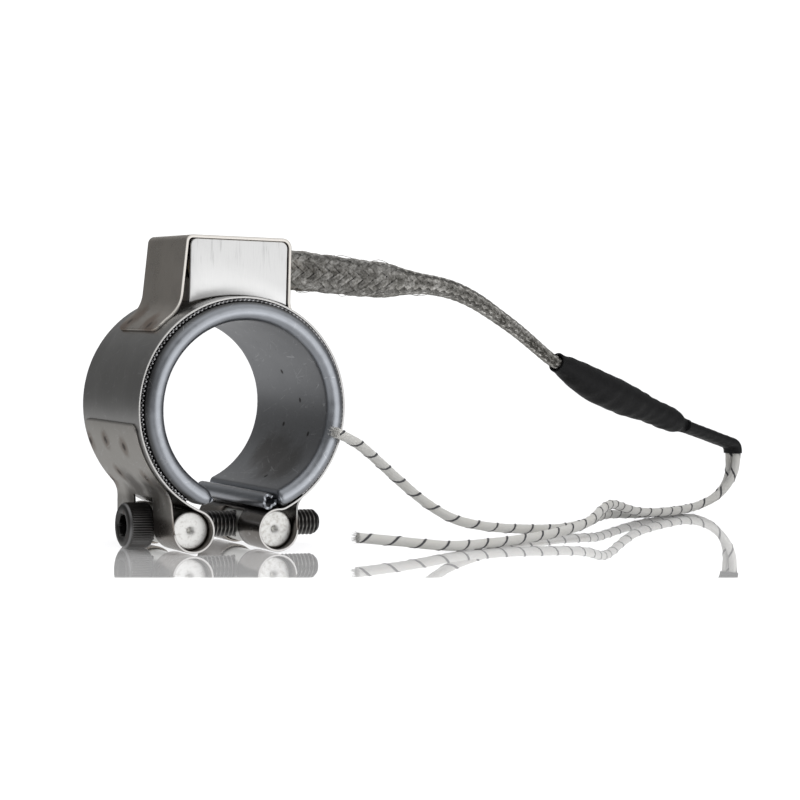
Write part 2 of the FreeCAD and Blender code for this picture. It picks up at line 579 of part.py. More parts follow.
# leads: side by side out of the small heat-shrink, down to the floor and back
Z1 = FLOOR_Z + LEAD_R
pa, pb = E1 - back_ * 1.0, E1 + back_ * 1.0
EXIT_A = tuple(round(v, 2) for v in pa)
EXIT_B = tuple(round(v, 2) for v in pb)
print("floor z %.3f  lead centre on floor %.3f" % (FLOOR_Z, Z1), "exits", EXIT_A, EXIT_B, "direction", out)
LEAD_A = [EXIT_A, (154.28, 44.27, -14.7), (153.52, 44.37, -17.5), (151.76, 44.65, -20.4), (148.7, 44.9, -22.9), (144.5, 45.0, -24.5),
          (137.8, 41.7, -25.2), (130.6, 37.0, -25.15), (122.6, 32.2, -24.8), (114.6, 27.6, -24.1), (107.2, 22.0, -22.5), (99.8, 15.2, -21.0),
          (92.0, 6.9, -21.4), (84.4, -0.5, -23.3), (76.2, -5.5, -24.3), (66.8, -10.2, -24.9), (57.4, -13.9, -25.35), (48.6, -17.0, Z1),
          (41.4, -19.9, Z1), (34.6, -21.5, -24.75), (27.6, -21.6, -23.9), (20.3, -21.2, -23.25)]
LEAD_B = [EXIT_B, (153.95, 46.5, -14.7), (153.95, 46.65, -17.5), (152.8, 46.8, -20.5), (149.9, 47.0, -23.2), (145.6, 47.3, -24.95),
          (139.2, 44.9, Z1), (131.4, 40.5, Z1), (122.8, 35.7, -25.4), (114.2, 30.8, -24.9), (105.2, 24.8, -24.2), (98.2, 18.2, -24.2),
          (91.2, 11.9, -24.9), (82.4, 7.1, -25.35), (73.2, 3.6, -25.0), (64.6, 0.5, -24.4), (56.6, -2.6, -23.4), (49.4, -4.2, -21.8),
          (42.6, -5.2, -18.2), (36.0, -7.9, -14.1), (29.8, -11.3, -10.3), (24.5, -14.9, -7.3), (20.3, -17.25, -5.3), (16.6, -18.4, -4.05)]
ta, La = route_tube(LEAD_A, LEAD_R, "lead_a")
tb, Lb = route_tube(LEAD_B, LEAD_R, "lead_b")
keep("lead_a", ta.cut(ov))
keep("lead_b", tb.cut(ov))
print("overlap a-b", ta.common(tb).Volume, "gap", ta.distToShape(tb)[0])
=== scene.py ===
import bpy, bmesh, json, math, random
import numpy as np
from mathutils import Matrix, Vector, Quaternion


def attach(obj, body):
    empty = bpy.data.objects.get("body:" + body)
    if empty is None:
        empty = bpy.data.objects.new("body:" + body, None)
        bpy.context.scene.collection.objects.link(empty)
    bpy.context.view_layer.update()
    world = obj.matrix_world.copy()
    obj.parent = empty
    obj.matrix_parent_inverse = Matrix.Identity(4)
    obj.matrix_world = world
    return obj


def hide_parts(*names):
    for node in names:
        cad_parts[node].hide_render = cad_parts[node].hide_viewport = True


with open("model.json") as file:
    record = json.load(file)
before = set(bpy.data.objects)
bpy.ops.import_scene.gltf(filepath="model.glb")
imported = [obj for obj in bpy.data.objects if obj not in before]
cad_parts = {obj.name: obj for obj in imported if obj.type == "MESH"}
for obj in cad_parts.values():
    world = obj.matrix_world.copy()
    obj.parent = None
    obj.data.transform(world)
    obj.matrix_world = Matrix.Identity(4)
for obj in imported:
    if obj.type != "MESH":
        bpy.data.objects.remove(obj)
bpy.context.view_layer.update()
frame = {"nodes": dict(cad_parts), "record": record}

MM = 0.001
REC = frame["record"]
HEATER, SCREW = "heater", "screw"
random.seed(7)
RNG = np.random.default_rng(11)
SC = bpy.context.scene

# ------------------------------------------------------------------ camera
# seen from the front left, almost level with the part, with a long lens
cam_d = bpy.data.cameras.new("camera")
cam = bpy.data.objects.new("camera", cam_d)
SC.collection.objects.link(cam)
R_ = Vector((0.8826987, -0.4692244, 0.0259112))
U_ = Vector((-0.0079060, 0.0403019, 0.9991563))
F_ = Vector((0.4698728, 0.8821588, -0.0318647))
m = Matrix.Identity(4)
for i in range(3):
    m[i][0], m[i][1], m[i][2] = R_[i], U_[i], -F_[i]
m.translation = Vector((-0.162473, -0.379413, 0.015033))
cam.matrix_world = m
cam_d.sensor_width = 36.0
cam_d.lens = 99.0
cam_d.clip_start = 0.01
cam_d.clip_end = 50.0
SC.camera = cam

# --------------------------------------------------------------- dimensions
BORE_R, SHEET, RIM_R, RIM_Y = 16.0, 0.5, 1.7, 14.9
RC = BORE_R + RIM_R
GAP_DEG = 22.0
A_RIGHT, A_LEFT = -90.0 + GAP_DEG, 270.0 - GAP_DEG
T = 0.4
STRAP_RC, STRAP_Y, LOOP_RC = 20.2, 14.4, 3.8
PIN_L_X, PIN_R_X = -9.18, 7.53
PIN_Z = -math.sqrt((STRAP_RC + LOOP_RC) ** 2 - PIN_L_X ** 2)
FLOOR_Z = PIN_Z - 4.23
BOX_Y = 9.4
EXIT_Z = 25.95


# ---------------------------------------------------------------- materials
class G:
    """Small helper around one material's node tree. Coordinates are the row frame in millimetres."""

    def __init__(s, name):
        s.mat = bpy.data.materials.new(name)
        s.mat.use_nodes = True
        s.t = s.mat.node_tree
        s.t.nodes.clear()
        s.out = s.t.nodes.new("ShaderNodeOutputMaterial")
        s.b = s.t.nodes.new("ShaderNodeBsdfPrincipled")
        s.t.links.new(s.b.outputs[0], s.out.inputs[0])
        tc = s.t.nodes.new("ShaderNodeTexCoord")
        mp = s.t.nodes.new("ShaderNodeMapping")
        mp.inputs["Scale"].default_value = (1000, 1000, 1000)
        s.t.links.new(tc.outputs["Object"], mp.inputs["Vector"])
        s.p = mp.outputs[0]

    def put(s, sock, v):
        if isinstance(v, bpy.types.NodeSocket):
            s.t.links.new(v, sock)
        elif isinstance(v, (tuple, list)) and len(v) == 3 and sock.type == "RGBA":
            sock.default_value = (*v, 1)
        else:
            sock.default_value = v

    def m(s, op, a, b=0.0, c=None, clamp=False):
        n = s.t.nodes.new("ShaderNodeMath")
        n.operation = op
        n.use_clamp = clamp
        s.put(n.inputs[0], a)
        s.put(n.inputs[1], b)
        if c is not None:
            s.put(n.inputs[2], c)
        return n.outputs[0]

    def sep(s, v=None):
        n = s.t.nodes.new("ShaderNodeSeparateXYZ")
        s.t.links.new(v or s.p, n.inputs[0])
        return n.outputs[0], n.outputs[1], n.outputs[2]

    def comb(s, x, y, z):
        n = s.t.nodes.new("ShaderNodeCombineXYZ")
        for i, v in enumerate((x, y, z)):
            s.put(n.inputs[i], v)
        return n.outputs[0]

    def scaled(s, sx, sy, sz, v=None):
        n = s.t.nodes.new("ShaderNodeVectorMath")
        n.operation = "MULTIPLY"
        s.t.links.new(v or s.p, n.inputs[0])
        n.inputs[1].default_value = (sx, sy, sz)
        return n.outputs[0]

    def noise(s, scale, detail=3.0, rough=0.55, v=None, dist=0.0):
        n = s.t.nodes.new("ShaderNodeTexNoise")
        s.t.links.new(v or s.p, n.inputs["Vector"])
        n.inputs["Scale"].default_value = scale
        n.inputs["Detail"].default_value = detail
        n.inputs["Roughness"].default_value = rough
        n.inputs["Distortion"].default_value = dist
        return n.outputs[0]

    def voronoi(s, scale, v=None, feature="F1"):
        n = s.t.nodes.new("ShaderNodeTexVoronoi")
        n.feature = feature
        s.t.links.new(v or s.p, n.inputs["Vector"])
        n.inputs["Scale"].default_value = scale
        return n.outputs["Distance"]

    def smooth(s, x, a, b):
        n = s.t.nodes.new("ShaderNodeMapRange")
        n.interpolation_type = "SMOOTHSTEP"
        s.put(n.inputs[0], x)
        n.inputs[1].default_value = a
        n.inputs[2].default_value = b
        n.inputs[3].default_value = 0.0
        n.inputs[4].default_value = 1.0
        return n.outputs[0]

    def rng(s, x, a, b, lo, hi):
        n = s.t.nodes.new("ShaderNodeMapRange")
        s.put(n.inputs[0], x)
        for i, v in enumerate((a, b, lo, hi)):
            n.inputs[1 + i].default_value = v
        return n.outputs[0]

    def mix(s, f, a, b):
        n = s.t.nodes.new("ShaderNodeMix")
        n.data_type = "RGBA"
        s.put(n.inputs[0], f)
        s.put(n.inputs[6], a)
        s.put(n.inputs[7], b)
        return n.outputs[2]

    def ramp(s, f, stops):
        n = s.t.nodes.new("ShaderNodeValToRGB")
        s.t.links.new(f, n.inputs[0])
        e = n.color_ramp.elements
        while len(e) < len(stops):
            e.new(0.5)
        for i, (p, c) in enumerate(stops):
            e[i].position = p
            e[i].color = (*c, 1)
        return n.outputs[0]

    def bump(s, h, strength=0.3, dist=0.05, normal=None):
        n = s.t.nodes.new("ShaderNodeBump")
        s.put(n.inputs["Height"], h)
        n.inputs["Strength"].default_value = strength
        n.inputs["Distance"].default_value = dist * MM
        if normal is not None:
            s.t.links.new(normal, n.inputs["Normal"])
        return n.outputs[0]

    def set(s, **k):
        names = {"color": "Base Color", "metal": "Metallic", "rough": "Roughness", "normal": "Normal",
                 "spec": "Specular IOR Level", "coat": "Coat Weight", "coat_rough": "Coat Roughness",
                 "sheen": "Sheen Weight", "aniso": "Anisotropic", "ior": "IOR", "alpha": "Alpha"}
        for a, v in k.items():
            s.put(s.b.inputs[names[a]], v)
        return s.mat

    def polar(s):
        """(radius, angle) about the Y axis."""
        x, y, z = s.sep()
        r = s.m("SQRT", s.m("ADD", s.m("MULTIPLY", x, x), s.m("MULTIPLY", z, z)))
        a = s.m("ARCTAN2", z, x)
        return x, y, z, r, a

    def spots(s, pts, r0, r1, wob=0.0):
        """Largest of smooth round masks about points (mm)."""
        v = s.p
        if wob:
            n = s.t.nodes.new("ShaderNodeTexNoise")
            s.t.links.new(s.p, n.inputs["Vector"])
            n.inputs["Scale"].default_value = 0.8
            n.inputs["Detail"].default_value = 3
            w = s.t.nodes.new("ShaderNodeVectorMath")
            w.operation = "MULTIPLY_ADD"
            s.t.links.new(n.outputs[1], w.inputs[0])
            w.inputs[1].default_value = (wob, wob, wob)
            s.t.links.new(s.p, w.inputs[2])
            o = s.t.nodes.new("ShaderNodeVectorMath")
            o.operation = "SUBTRACT"
            s.t.links.new(w.outputs[0], o.inputs[0])
            o.inputs[1].default_value = (wob / 2, wob / 2, wob / 2)
            v = o.outputs[0]
        best = None
        for p in pts:
            n = s.t.nodes.new("ShaderNodeVectorMath")
            n.operation = "DISTANCE"
            s.t.links.new(v, n.inputs[0])
            n.inputs[1].default_value = p[:3]
            d = n.outputs["Value"]
            if len(p) > 3:
                d = s.m("MULTIPLY", d, p[3])
            f = s.smooth(d, r1, r0)
            best = f if best is None else s.m("MAXIMUM", best, f)
        return best


def metal(name, base, rough=0.3, tint=(1, 1, 1), grain="circ", grain_amt=0.12, bump=0.15, blotch=0.15, metal_=1.0):
    """Sheet metal with rolled grain, faint blotches and fine grit."""
    g = G(name)
    x, y, z, r, a = g.polar()
    if grain == "circ":
        gv = g.comb(g.m("MULTIPLY", y, 9.0), g.m("MULTIPLY", a, 3.0), g.m("MULTIPLY", r, 2.0))
    elif grain == "z":
        gv = g.comb(g.m("MULTIPLY", x, 7.0), g.m("MULTIPLY", y, 7.0), g.m("MULTIPLY", z, 0.35))
    elif grain == "x":
        gv = g.comb(g.m("MULTIPLY", x, 0.35), g.m("MULTIPLY", y, 7.0), g.m("MULTIPLY", z, 7.0))
    else:
        gv = g.p
    fine = g.noise(1.0, 4, 0.6, gv)
    blot = g.noise(0.16, 4, 0.6)
    grit = g.noise(6.0, 2, 0.6)
    v = g.m("ADD", g.m("MULTIPLY", g.m("SUBTRACT", fine, 0.5), grain_amt * 2), g.m("MULTIPLY", g.m("SUBTRACT", blot, 0.5), blotch * 2))
    v = g.m("ADD", v, 0.5, clamp=True)
    lo = tuple(c * (1 - 0.55) for c in base)
    hi = tuple(min(1, c * (1 + 0.55)) for c in base)
    col = g.mix(v, lo, hi)
    ro = g.m("ADD", rough, g.m("ADD", g.m("MULTIPLY", g.m("SUBTRACT", blot, 0.5), 0.18), g.m("MULTIPLY", g.m("SUBTRACT", grit, 0.5), 0.10)), clamp=True)
    g.set(color=col, metal=metal_, rough=ro, normal=g.bump(g.m("ADD", g.m("MULTIPLY", fine, 0.7), g.m("MULTIPLY", grit, 0.3)), bump, 0.03))
    g.col, g.ro, g.fine, g.blot, g.grit = col, ro, fine, blot, grit
    g.pol = (x, y, z, r, a)
    return g


# ------------------------------------------------------------- mesh helpers
def mesh_object(name, verts, faces, mat, body=HEATER, smooth=True, replaces=(), scale=MM, mats=None, face_mat=None):
    me = bpy.data.meshes.new(name)
    me.from_pydata([tuple(c * scale for c in v) for v in verts], [], faces)
    me.validate()
    me.update()
    ob = bpy.data.objects.new(name, me)
    SC.collection.objects.link(ob)
    for mm_ in (mats or [mat]):
        me.materials.append(mm_)
    if face_mat is not None:
        me.polygons.foreach_set("material_index", np.array(face_mat, dtype=np.int32))
    me.polygons.foreach_set("use_smooth", [smooth] * len(me.polygons))
    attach(ob, body)
    if replaces:
        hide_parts(*replaces)
    return ob


def fix_normals(ob):
    bm = bmesh.new()
    bm.from_mesh(ob.data)
    bmesh.ops.recalc_face_normals(bm, faces=bm.faces)
    bm.to_mesh(ob.data)
    bm.free()


def apply_mods(ob):
    dg = bpy.context.evaluated_depsgraph_get()
    ev = ob.evaluated_get(dg)
    me = bpy.data.meshes.new_from_object(ev, preserve_all_data_layers=True, depsgraph=dg)
    old = ob.data
    ob.modifiers.clear()
    ob.data = me
    bpy.data.meshes.remove(old)


def bevel(ob, width=0.08, seg=2, angle=35):
    b = ob.modifiers.new("bevel", "BEVEL")
    b.width = width * MM
    b.segments = seg
    b.limit_method = "ANGLE"
    b.angle_limit = math.radians(angle)
    b.harden_normals = False
    apply_mods(ob)
    sharp_by_angle(ob, 50)


def sharp_by_angle(ob, deg=40):
    me = ob.data
    me.polygons.foreach_set("use_smooth", [True] * len(me.polygons))
    bm = bmesh.new()
    bm.from_mesh(me)
    lim = math.radians(deg)
    for e in bm.edges:
        e.smooth = not (len(e.link_faces) == 2 and e.calc_face_angle(0) > lim)
    bm.to_mesh(me)
    bm.free()


def boolean(ob, cutter, op="DIFFERENCE"):
    md = ob.modifiers.new("bool", "BOOLEAN")
    md.operation = op
    md.solver = "EXACT"
    md.object = cutter
    bpy.context.view_layer.update()
    apply_mods(ob)
    bpy.data.objects.remove(cutter)


def tmp_mesh(verts, faces):
    me = bpy.data.meshes.new("tmp")
    me.from_pydata([tuple(c * MM for c in v) for v in verts], [], faces)
    me.update()
    ob = bpy.data.objects.new("tmp", me)
    SC.collection.objects.link(ob)
    bm = bmesh.new()
    bm.from_mesh(me)
    bmesh.ops.recalc_face_normals(bm, faces=bm.faces)
    bm.to_mesh(me)
    bm.free()
    return ob


def tmp_cyl(p, d, r, h, n=64, r2=None):
    """Closed cylinder or cone from p along unit d."""
    d = Vector(d).normalized()
    u = d.orthogonal().normalized()
    w = d.cross(u)
    p = Vector(p)
    r2 = r if r2 is None else r2
    vs, fs = [], []
    for k, (q, rr) in enumerate(((p, r), (p + d * h, r2))):
        for i in range(n):
            a = 2 * math.pi * i / n
            vs.append(tuple(q + u * rr * math.cos(a) + w * rr * math.sin(a)))
    for i in range(n):
        fs.append((i, (i + 1) % n, n + (i + 1) % n, n + i))
    fs.append(tuple(range(n - 1, -1, -1)))
    fs.append(tuple(range(n, 2 * n)))
    return tmp_mesh(vs, fs)


def tmp_box(lo, hi):
    x0, y0, z0 = lo
    x1, y1, z1 = hi
    vs = [(x0, y0, z0), (x1, y0, z0), (x1, y1, z0), (x0, y1, z0), (x0, y0, z1), (x1, y0, z1), (x1, y1, z1), (x0, y1, z1)]
    fs = [(0, 3, 2, 1), (4, 5, 6, 7), (0, 1, 5, 4), (1, 2, 6, 5), (2, 3, 7, 6), (3, 0, 4, 7)]
    return tmp_mesh(vs, fs)


def pol(r, deg, c=(0.0, 0.0)):
    a = math.radians(deg)
    return (c[0] + r * math.cos(a), c[1] + r * math.sin(a))


def arc_pts(c, r, a0, a1, step=2.0):
    n = max(2, int(abs(a1 - a0) / step) + 1)
    return [pol(r, a0 + (a1 - a0) * i / (n - 1), c) for i in range(n)]


def offset_line(pts, d):
    """Offsets an open polyline in the X-Z plane by d to its left."""
    P = np.array(pts, float)
    t = np.zeros_like(P)
    t[1:-1] = P[2:] - P[:-2]
    t[0] = P[1] - P[0]
    t[-1] = P[-1] - P[-2]
    t /= np.linalg.norm(t, axis=1)[:, None]
    n = np.stack([-t[:, 1], t[:, 0]], 1)
    return P + n * d


def dedupe(pts, eps=1e-4):
    out = [pts[0]]
    for p in pts[1:]:
        if math.hypot(p[0] - out[-1][0], p[1] - out[-1][1]) > eps:
            out.append(p)
    return out


def sheet_mesh(path, t, y_of, ny=2):
    """A bent sheet: path is its centreline in X-Z, t its thickness and y_of(i, v) gives Y across the width for v in -1..1."""
    A, B = offset_line(path, t / 2), offset_line(path, -t / 2)
    n = len(path)
    vs, fs = [], []
    for k, Q in enumerate((A, B)):
        for i in range(n):
            for j in range(ny + 1):
                v = -1 + 2 * j / ny
                vs.append((Q[i][0], y_of(i, v), Q[i][1]))
    w = ny + 1
    def idx(k, i, j):
        return k * n * w + i * w + j
    for i in range(n - 1):
        for j in range(ny):
            fs.append((idx(0, i, j), idx(0, i, j + 1), idx(0, i + 1, j + 1), idx(0, i + 1, j)))
            fs.append((idx(1, i, j), idx(1, i + 1, j), idx(1, i + 1, j + 1), idx(1, i, j + 1)))
        fs.append((idx(0, i, 0), idx(0, i + 1, 0), idx(1, i + 1, 0), idx(1, i, 0)))
        fs.append((idx(0, i, ny), idx(1, i, ny), idx(1, i + 1, ny), idx(0, i + 1, ny)))
    for j in range(ny):
        fs.append((idx(0, 0, j), idx(1, 0, j), idx(1, 0, j + 1), idx(0, 0, j + 1)))
        fs.append((idx(0, n - 1, j), idx(0, n - 1, j + 1), idx(1, n - 1, j + 1), idx(1, n - 1, j)))
    return vs, fs


def lathe(profile, axis_p, axis_d, n=64, up=None, wob=None, caps=(False, False)):
    """Turns (s, r) points about an axis. Returns verts and faces (mm)."""
    d = Vector(axis_d).normalized()
    u = Vector(up).normalized() if up else d.orthogonal().normalized()
    w = d.cross(u)
    p = Vector(axis_p)
    vs, fs = [], []
    for k, (s, r) in enumerate(profile):
        for i in range(n):
            a = 2 * math.pi * i / n
            rr = r + (wob(s, a) if wob else 0.0)
            vs.append(tuple(p + d * s + (u * math.cos(a) + w * math.sin(a)) * rr))
    for k in range(len(profile) - 1):
        for i in range(n):
            j = (i + 1) % n
            fs.append((k * n + i, k * n + j, (k + 1) * n + j, (k + 1) * n + i))
    if caps[0]:
        fs.append(tuple(range(n - 1, -1, -1)))
    if caps[1]:
        fs.append(tuple(range((len(profile) - 1) * n, len(profile) * n)))
    return vs, fs


def nurbs_points(route, n_res=12):
    """Points read from the route's NURBS spline, in mm."""
    cu = bpy.data.curves.new("probe", "CURVE")
    cu.dimensions = "3D"
    cu.resolution_u = n_res
    sp = cu.splines.new("NURBS")
    sp.points.add(len(route) - 1)
    for i, p in enumerate(route):
        sp.points[i].co = (p[0] * MM, p[1] * MM, p[2] * MM, 1.0)
    sp.order_u = 3
    sp.use_endpoint_u = True
    ob = bpy.data.objects.new("probe", cu)
    SC.collection.objects.link(ob)
    bpy.context.view_layer.update()
    dg = bpy.context.evaluated_depsgraph_get()
    me = bpy.data.meshes.new_from_object(ob.evaluated_get(dg))
    P = np.array([v.co[:] for v in me.vertices]) / MM
    bpy.data.objects.remove(ob)
    bpy.data.curves.remove(cu)
    bpy.data.meshes.remove(me)
    return P


def resample(P, step):
    seg = np.linalg.norm(np.diff(P, axis=0), axis=1)
    L = np.concatenate([[0], np.cumsum(seg)])
    n = max(2, int(round(L[-1] / step)) + 1)
    s = np.linspace(0, L[-1], n)
    Q = np.stack([np.interp(s, L, P[:, k]) for k in range(3)], 1)
    return Q, s, L[-1]


def frames(Q, up=(0, 0, 1)):
    """Rotation minimising frames along Q: tangent, normal, binormal."""
    T_ = np.gradient(Q, axis=0)
    T_ /= np.linalg.norm(T_, axis=1)[:, None]
    N_ = np.zeros_like(Q)
    u = np.array(up, float)
    u = u - T_[0] * u.dot(T_[0])
    N_[0] = u / np.linalg.norm(u)
    for i in range(1, len(Q)):
        v = N_[i - 1] - T_[i] * N_[i - 1].dot(T_[i])
        N_[i] = v / np.linalg.norm(v)
    return T_, N_, np.cross(T_, N_)


def tube_mesh(Q, radius, n=12, up=(0, 0, 1), caps=True):
    """radius may be a number, or a function (index, angle) giving the radius."""
    T_, N_, B_ = frames(Q, up)
    vs, fs = [], []
    for i in range(len(Q)):
        for k in range(n):
            a = 2 * math.pi * k / n
            r = radius(i, a) if callable(radius) else radius
            vs.append(tuple(Q[i] + (N_[i] * math.cos(a) + B_[i] * math.sin(a)) * r))
    for i in range(len(Q) - 1):
        for k in range(n):
            j = (k + 1) % n
            fs.append((i * n + k, i * n + j, (i + 1) * n + j, (i + 1) * n + k))
    if caps:
        fs.append(tuple(range(n - 1, -1, -1)))
        fs.append(tuple(range((len(Q) - 1) * n, len(Q) * n)))
    return vs, fs

# ---------------------------------------------------------- heating band
STEEL = {}


def rim_outline(n_arc=14):
    """Section of the inner sheath as (y, r) points, outer face first."""
    o = []
    o.append((-12.6, 19.4))
    for i in range(n_arc + 1):
        a = math.pi / 2 + math.pi * i / n_arc
        o.append((-RIM_Y + RIM_R * math.cos(a), RC + RIM_R * math.sin(a)))
    for y in (-12.5, -9, -5, 0, 5, 9, 12.5):
        o.append((y, BORE_R))
    for i in range(n_arc + 1):
        a = -math.pi / 2 + math.pi * i / n_arc
        o.append((RIM_Y + RIM_R * math.cos(a), RC + RIM_R * math.sin(a)))
    o.append((12.6, 19.4))
    ri = RIM_R - SHEET
    o.append((12.6, RC + ri))
    for i in range(n_arc + 1):
        a = math.pi / 2 - math.pi * i / n_arc
        o.append((RIM_Y + ri * math.cos(a), RC + ri * math.sin(a)))
    for i in range(n_arc + 1):
        a = 3 * math.pi / 2 - math.pi * i / n_arc
        o.append((-RIM_Y + ri * math.cos(a), RC + ri * math.sin(a)))
    o.append((-12.6, RC + ri))
    return o


def build_inner_sheath(mat):
    o = rim_outline()
    n_out = 15 + 7 + 15 + 2
    step = 1.2
    angs = list(np.arange(A_RIGHT, A_LEFT - 0.01, step)) + [A_LEFT]
    # finer at both ends, where the section is pinched shut
    extra = [A_RIGHT + e for e in (0.15, 0.4, 0.8, 1.8, 3.0)] + [A_LEFT - e for e in (0.15, 0.4, 0.8, 1.8, 3.0)]
    angs = sorted(set(round(a, 4) for a in angs + extra))
    vs, fs = [], []
    m_ = len(o)
    for a in angs:
        e = min(a - A_RIGHT, A_LEFT - a) * math.pi / 180 * RC
        left = (A_LEFT - a) < (a - A_RIGHT)
        pin = 2.2 if left else 1.0
        k = math.sqrt(max(0.0, 1 - max(0.0, 1 - e / pin) ** 2)) if e < pin else 1.0
        k = max(k, 0.32)
        wav = 0.035 * math.sin(math.radians(a) * 7 + 1) + 0.03 * math.sin(math.radians(a) * 17 + 2) + 0.018 * math.sin(math.radians(a) * 41)
        for (y, r) in o:
            bulge = max(0.0, (abs(y) - 13.6) / 3.0)
            rr = RC + (r - RC) * k
            yy = y + math.copysign(wav * bulge, y)
            if k < 1:
                yy = math.copysign(min(abs(yy), RIM_Y + (abs(yy) - RIM_Y) * (0.55 + 0.45 * k)) if abs(yy) > RIM_Y else abs(yy), y)
            x, z = pol(rr, a)
            vs.append((x, yy, z))
    for i in range(len(angs) - 1):
        for j in range(m_):
            q = (j + 1) % m_
            fs.append((i * m_ + j, i * m_ + q, (i + 1) * m_ + q, (i + 1) * m_ + j))
    fs.append(tuple(range(m_)))
    b = (len(angs) - 1) * m_
    fs.append(tuple(range(b + m_ - 1, b - 1, -1)))
    ob = mesh_object("sheath_inner", vs, fs, mat, replaces=["inner_sheath"])
    fix_normals(ob)
    sharp_by_angle(ob, 45)
    # end walls that close the pinched section
    for a, nm in ((A_LEFT - 0.25, "l"), (A_RIGHT + 0.25, "r")):
        pts = [(y, RC + (r - RC) * 0.45) for y, r in o[:n_out]]
        vv = [(pol(r, a)[0], y, pol(r, a)[1]) for y, r in pts]
        vv += [(pol(r, a + (0.8 if nm == "r" else -0.8))[0], y, pol(r, a + (0.8 if nm == "r" else -0.8))[1]) for y, r in pts]
        k = len(pts)
        ff = [tuple(range(k)), tuple(range(2 * k - 1, k - 1, -1))] + [(i, (i + 1) % k, k + (i + 1) % k, k + i) for i in range(k)]
        w = mesh_object("sheath_end_" + nm, vv, ff, mat, smooth=False)
        fix_normals(w)
    return ob


def build_roll(mat):
    nx, nz = -math.cos(math.radians(GAP_DEG)), -math.sin(math.radians(GAP_DEG))
    mid = pol(17.5, A_RIGHT)
    c = (mid[0] + nx * 1.49, mid[1] + nz * 1.49)
    vs, fs = [], []
    ys = list(np.linspace(-15.2, -13.0, 9)) + list(np.linspace(-11.5, 15.0, 14)) + [15.6, 16.1]
    angs = np.linspace(62, 372, 44)
    for y in ys:
        f = max(0.0, (-13.2 - y) / 2.0)
        for rr in (1.45, 1.0):
            for a in angs:
                r = rr + f * 0.16 * math.sin(math.radians(a) * 3 + 1.0) + f * 0.07 * math.sin(math.radians(a) * 8)
                r = r - f * 0.22 * (0.5 + 0.5 * math.cos(math.radians(a - 60)))
                x, z = pol(r, a, c)
                vs.append((x, y + f * 0.18 * math.sin(math.radians(a) * 4), z))
    na = len(angs)
    w = 2 * na
    for i in range(len(ys) - 1):
        for k in range(2):
            for j in range(na - 1):
                p = i * w + k * na + j
                q = (p, p + 1, p + w + 1, p + w)
                fs.append(q if k == 0 else q[::-1])
        p = i * w
        fs.append((p, p + w, p + w + na, p + na))
        fs.append((p + na - 1, p + 2 * na - 1, p + w + 2 * na - 1, p + w + na - 1))
    for i, flip in ((0, False), (len(ys) - 1, True)):
        for j in range(na - 1):
            p = i * w + j
            q = (p, p + 1, p + na + 1, p + na)
            fs.append(q[::-1] if flip else q)
    ob = mesh_object("sheath_roll", vs, fs, mat, replaces=["end_roll"])
    fix_normals(ob)
    sharp_by_angle(ob, 50)
    return ob


def build_band(mat):
    """Outer sheath: band whose edges are cut into fine crimped teeth."""
    a0, a1 = -90 + 37.0, 270 - 33.0
    teeth = int(round(math.radians(a1 - a0) * 19.9 / 0.86))
    per = 8
    n = teeth * per + 1
    prof = [0.0, 0.55, 1.0, 1.0, 1.0, 0.9, 0.45, 0.0]
    vs, fs = [], []
    def ring(a, k):
        t = prof[k % per]
        e = 14.30 + 0.42 * t
        # (y, r) once round the section
        return [(-e, 19.62 - 0.05 * t), (-e, 19.95 - 0.16 * t), (-14.05, 19.95), (-12.0, 19.95), (12.0, 19.95), (14.05, 19.95), (e, 19.95 - 0.16 * t), (e, 19.62 - 0.05 * t),
                (13.9, 19.46), (12.0, 19.45), (-12.0, 19.45), (-13.9, 19.46)]
    w = 12
    for k in range(n):
        a = a0 + (a1 - a0) * k / (n - 1)
        for y, r in ring(a, k):
            x, z = pol(r, a)
            vs.append((x, y, z))
    for k in range(n - 1):
        for j in range(w):
            q = (j + 1) % w
            fs.append((k * w + j, k * w + q, (k + 1) * w + q, (k + 1) * w + j))
    fs.append(tuple(range(w)))
    fs.append(tuple(range((n - 1) * w + w - 1, (n - 1) * w - 1, -1)))
    ob = mesh_object("sheath_band", vs, fs, mat, replaces=["outer_sheath"])
    fix_normals(ob)
    sharp_by_angle(ob, 40)
    return ob


# --------------------------------------------------------------- clamp strap
RL = STRAP_RC + T + 0.03
PL, PR = (PIN_L_X, PIN_Z), (PIN_R_X, PIN_Z)


def leaf_solution(c, alpha, rho, side):
    tx, tz = pol(LOOP_RC, alpha, c)
    ux, uz = -math.sin(math.radians(alpha)), math.cos(math.radians(alpha))
    if side < 0:
        ux, uz = -ux, -uz
    nxx, nzz = math.cos(math.radians(alpha)), math.sin(math.radians(alpha))
    bx, bz = tx + rho * nxx, tz + rho * nzz
    bb = bx * ux + bz * uz
    cc = bx * bx + bz * bz - (RL + rho) ** 2
    s = -bb - math.sqrt(bb * bb - cc)
    if s < 0:
        s = -bb + math.sqrt(bb * bb - cc)
    f = (bx + s * ux, bz + s * uz)
    lt = (tx + s * ux, tz + s * uz)
    return (tx, tz), lt, f, math.degrees(math.atan2(f[1], f[0]))


def leaf_path(c, alpha, rho, side, top_deg):
    """From the leaf's free end on the ring to the loop."""
    t, lt, f, ang = leaf_solution(c, alpha, rho, side)
    a_line = math.degrees(math.atan2(lt[1] - f[1], lt[0] - f[0]))
    a_ring = math.degrees(math.atan2(-f[1], -f[0]))
    d = (a_ring - a_line + 180) % 360 - 180
    d2 = (top_deg - ang + 180) % 360 - 180
    pts = arc_pts((0, 0), RL, ang + d2, ang, 1.2)
    pts += arc_pts(f, rho, a_line + d, a_line, 5.0)
    k = 5
    pts += [(lt[0] + (t[0] - lt[0]) * i / k, lt[1] + (t[1] - lt[1]) * i / k) for i in range(k + 1)]
    return pts


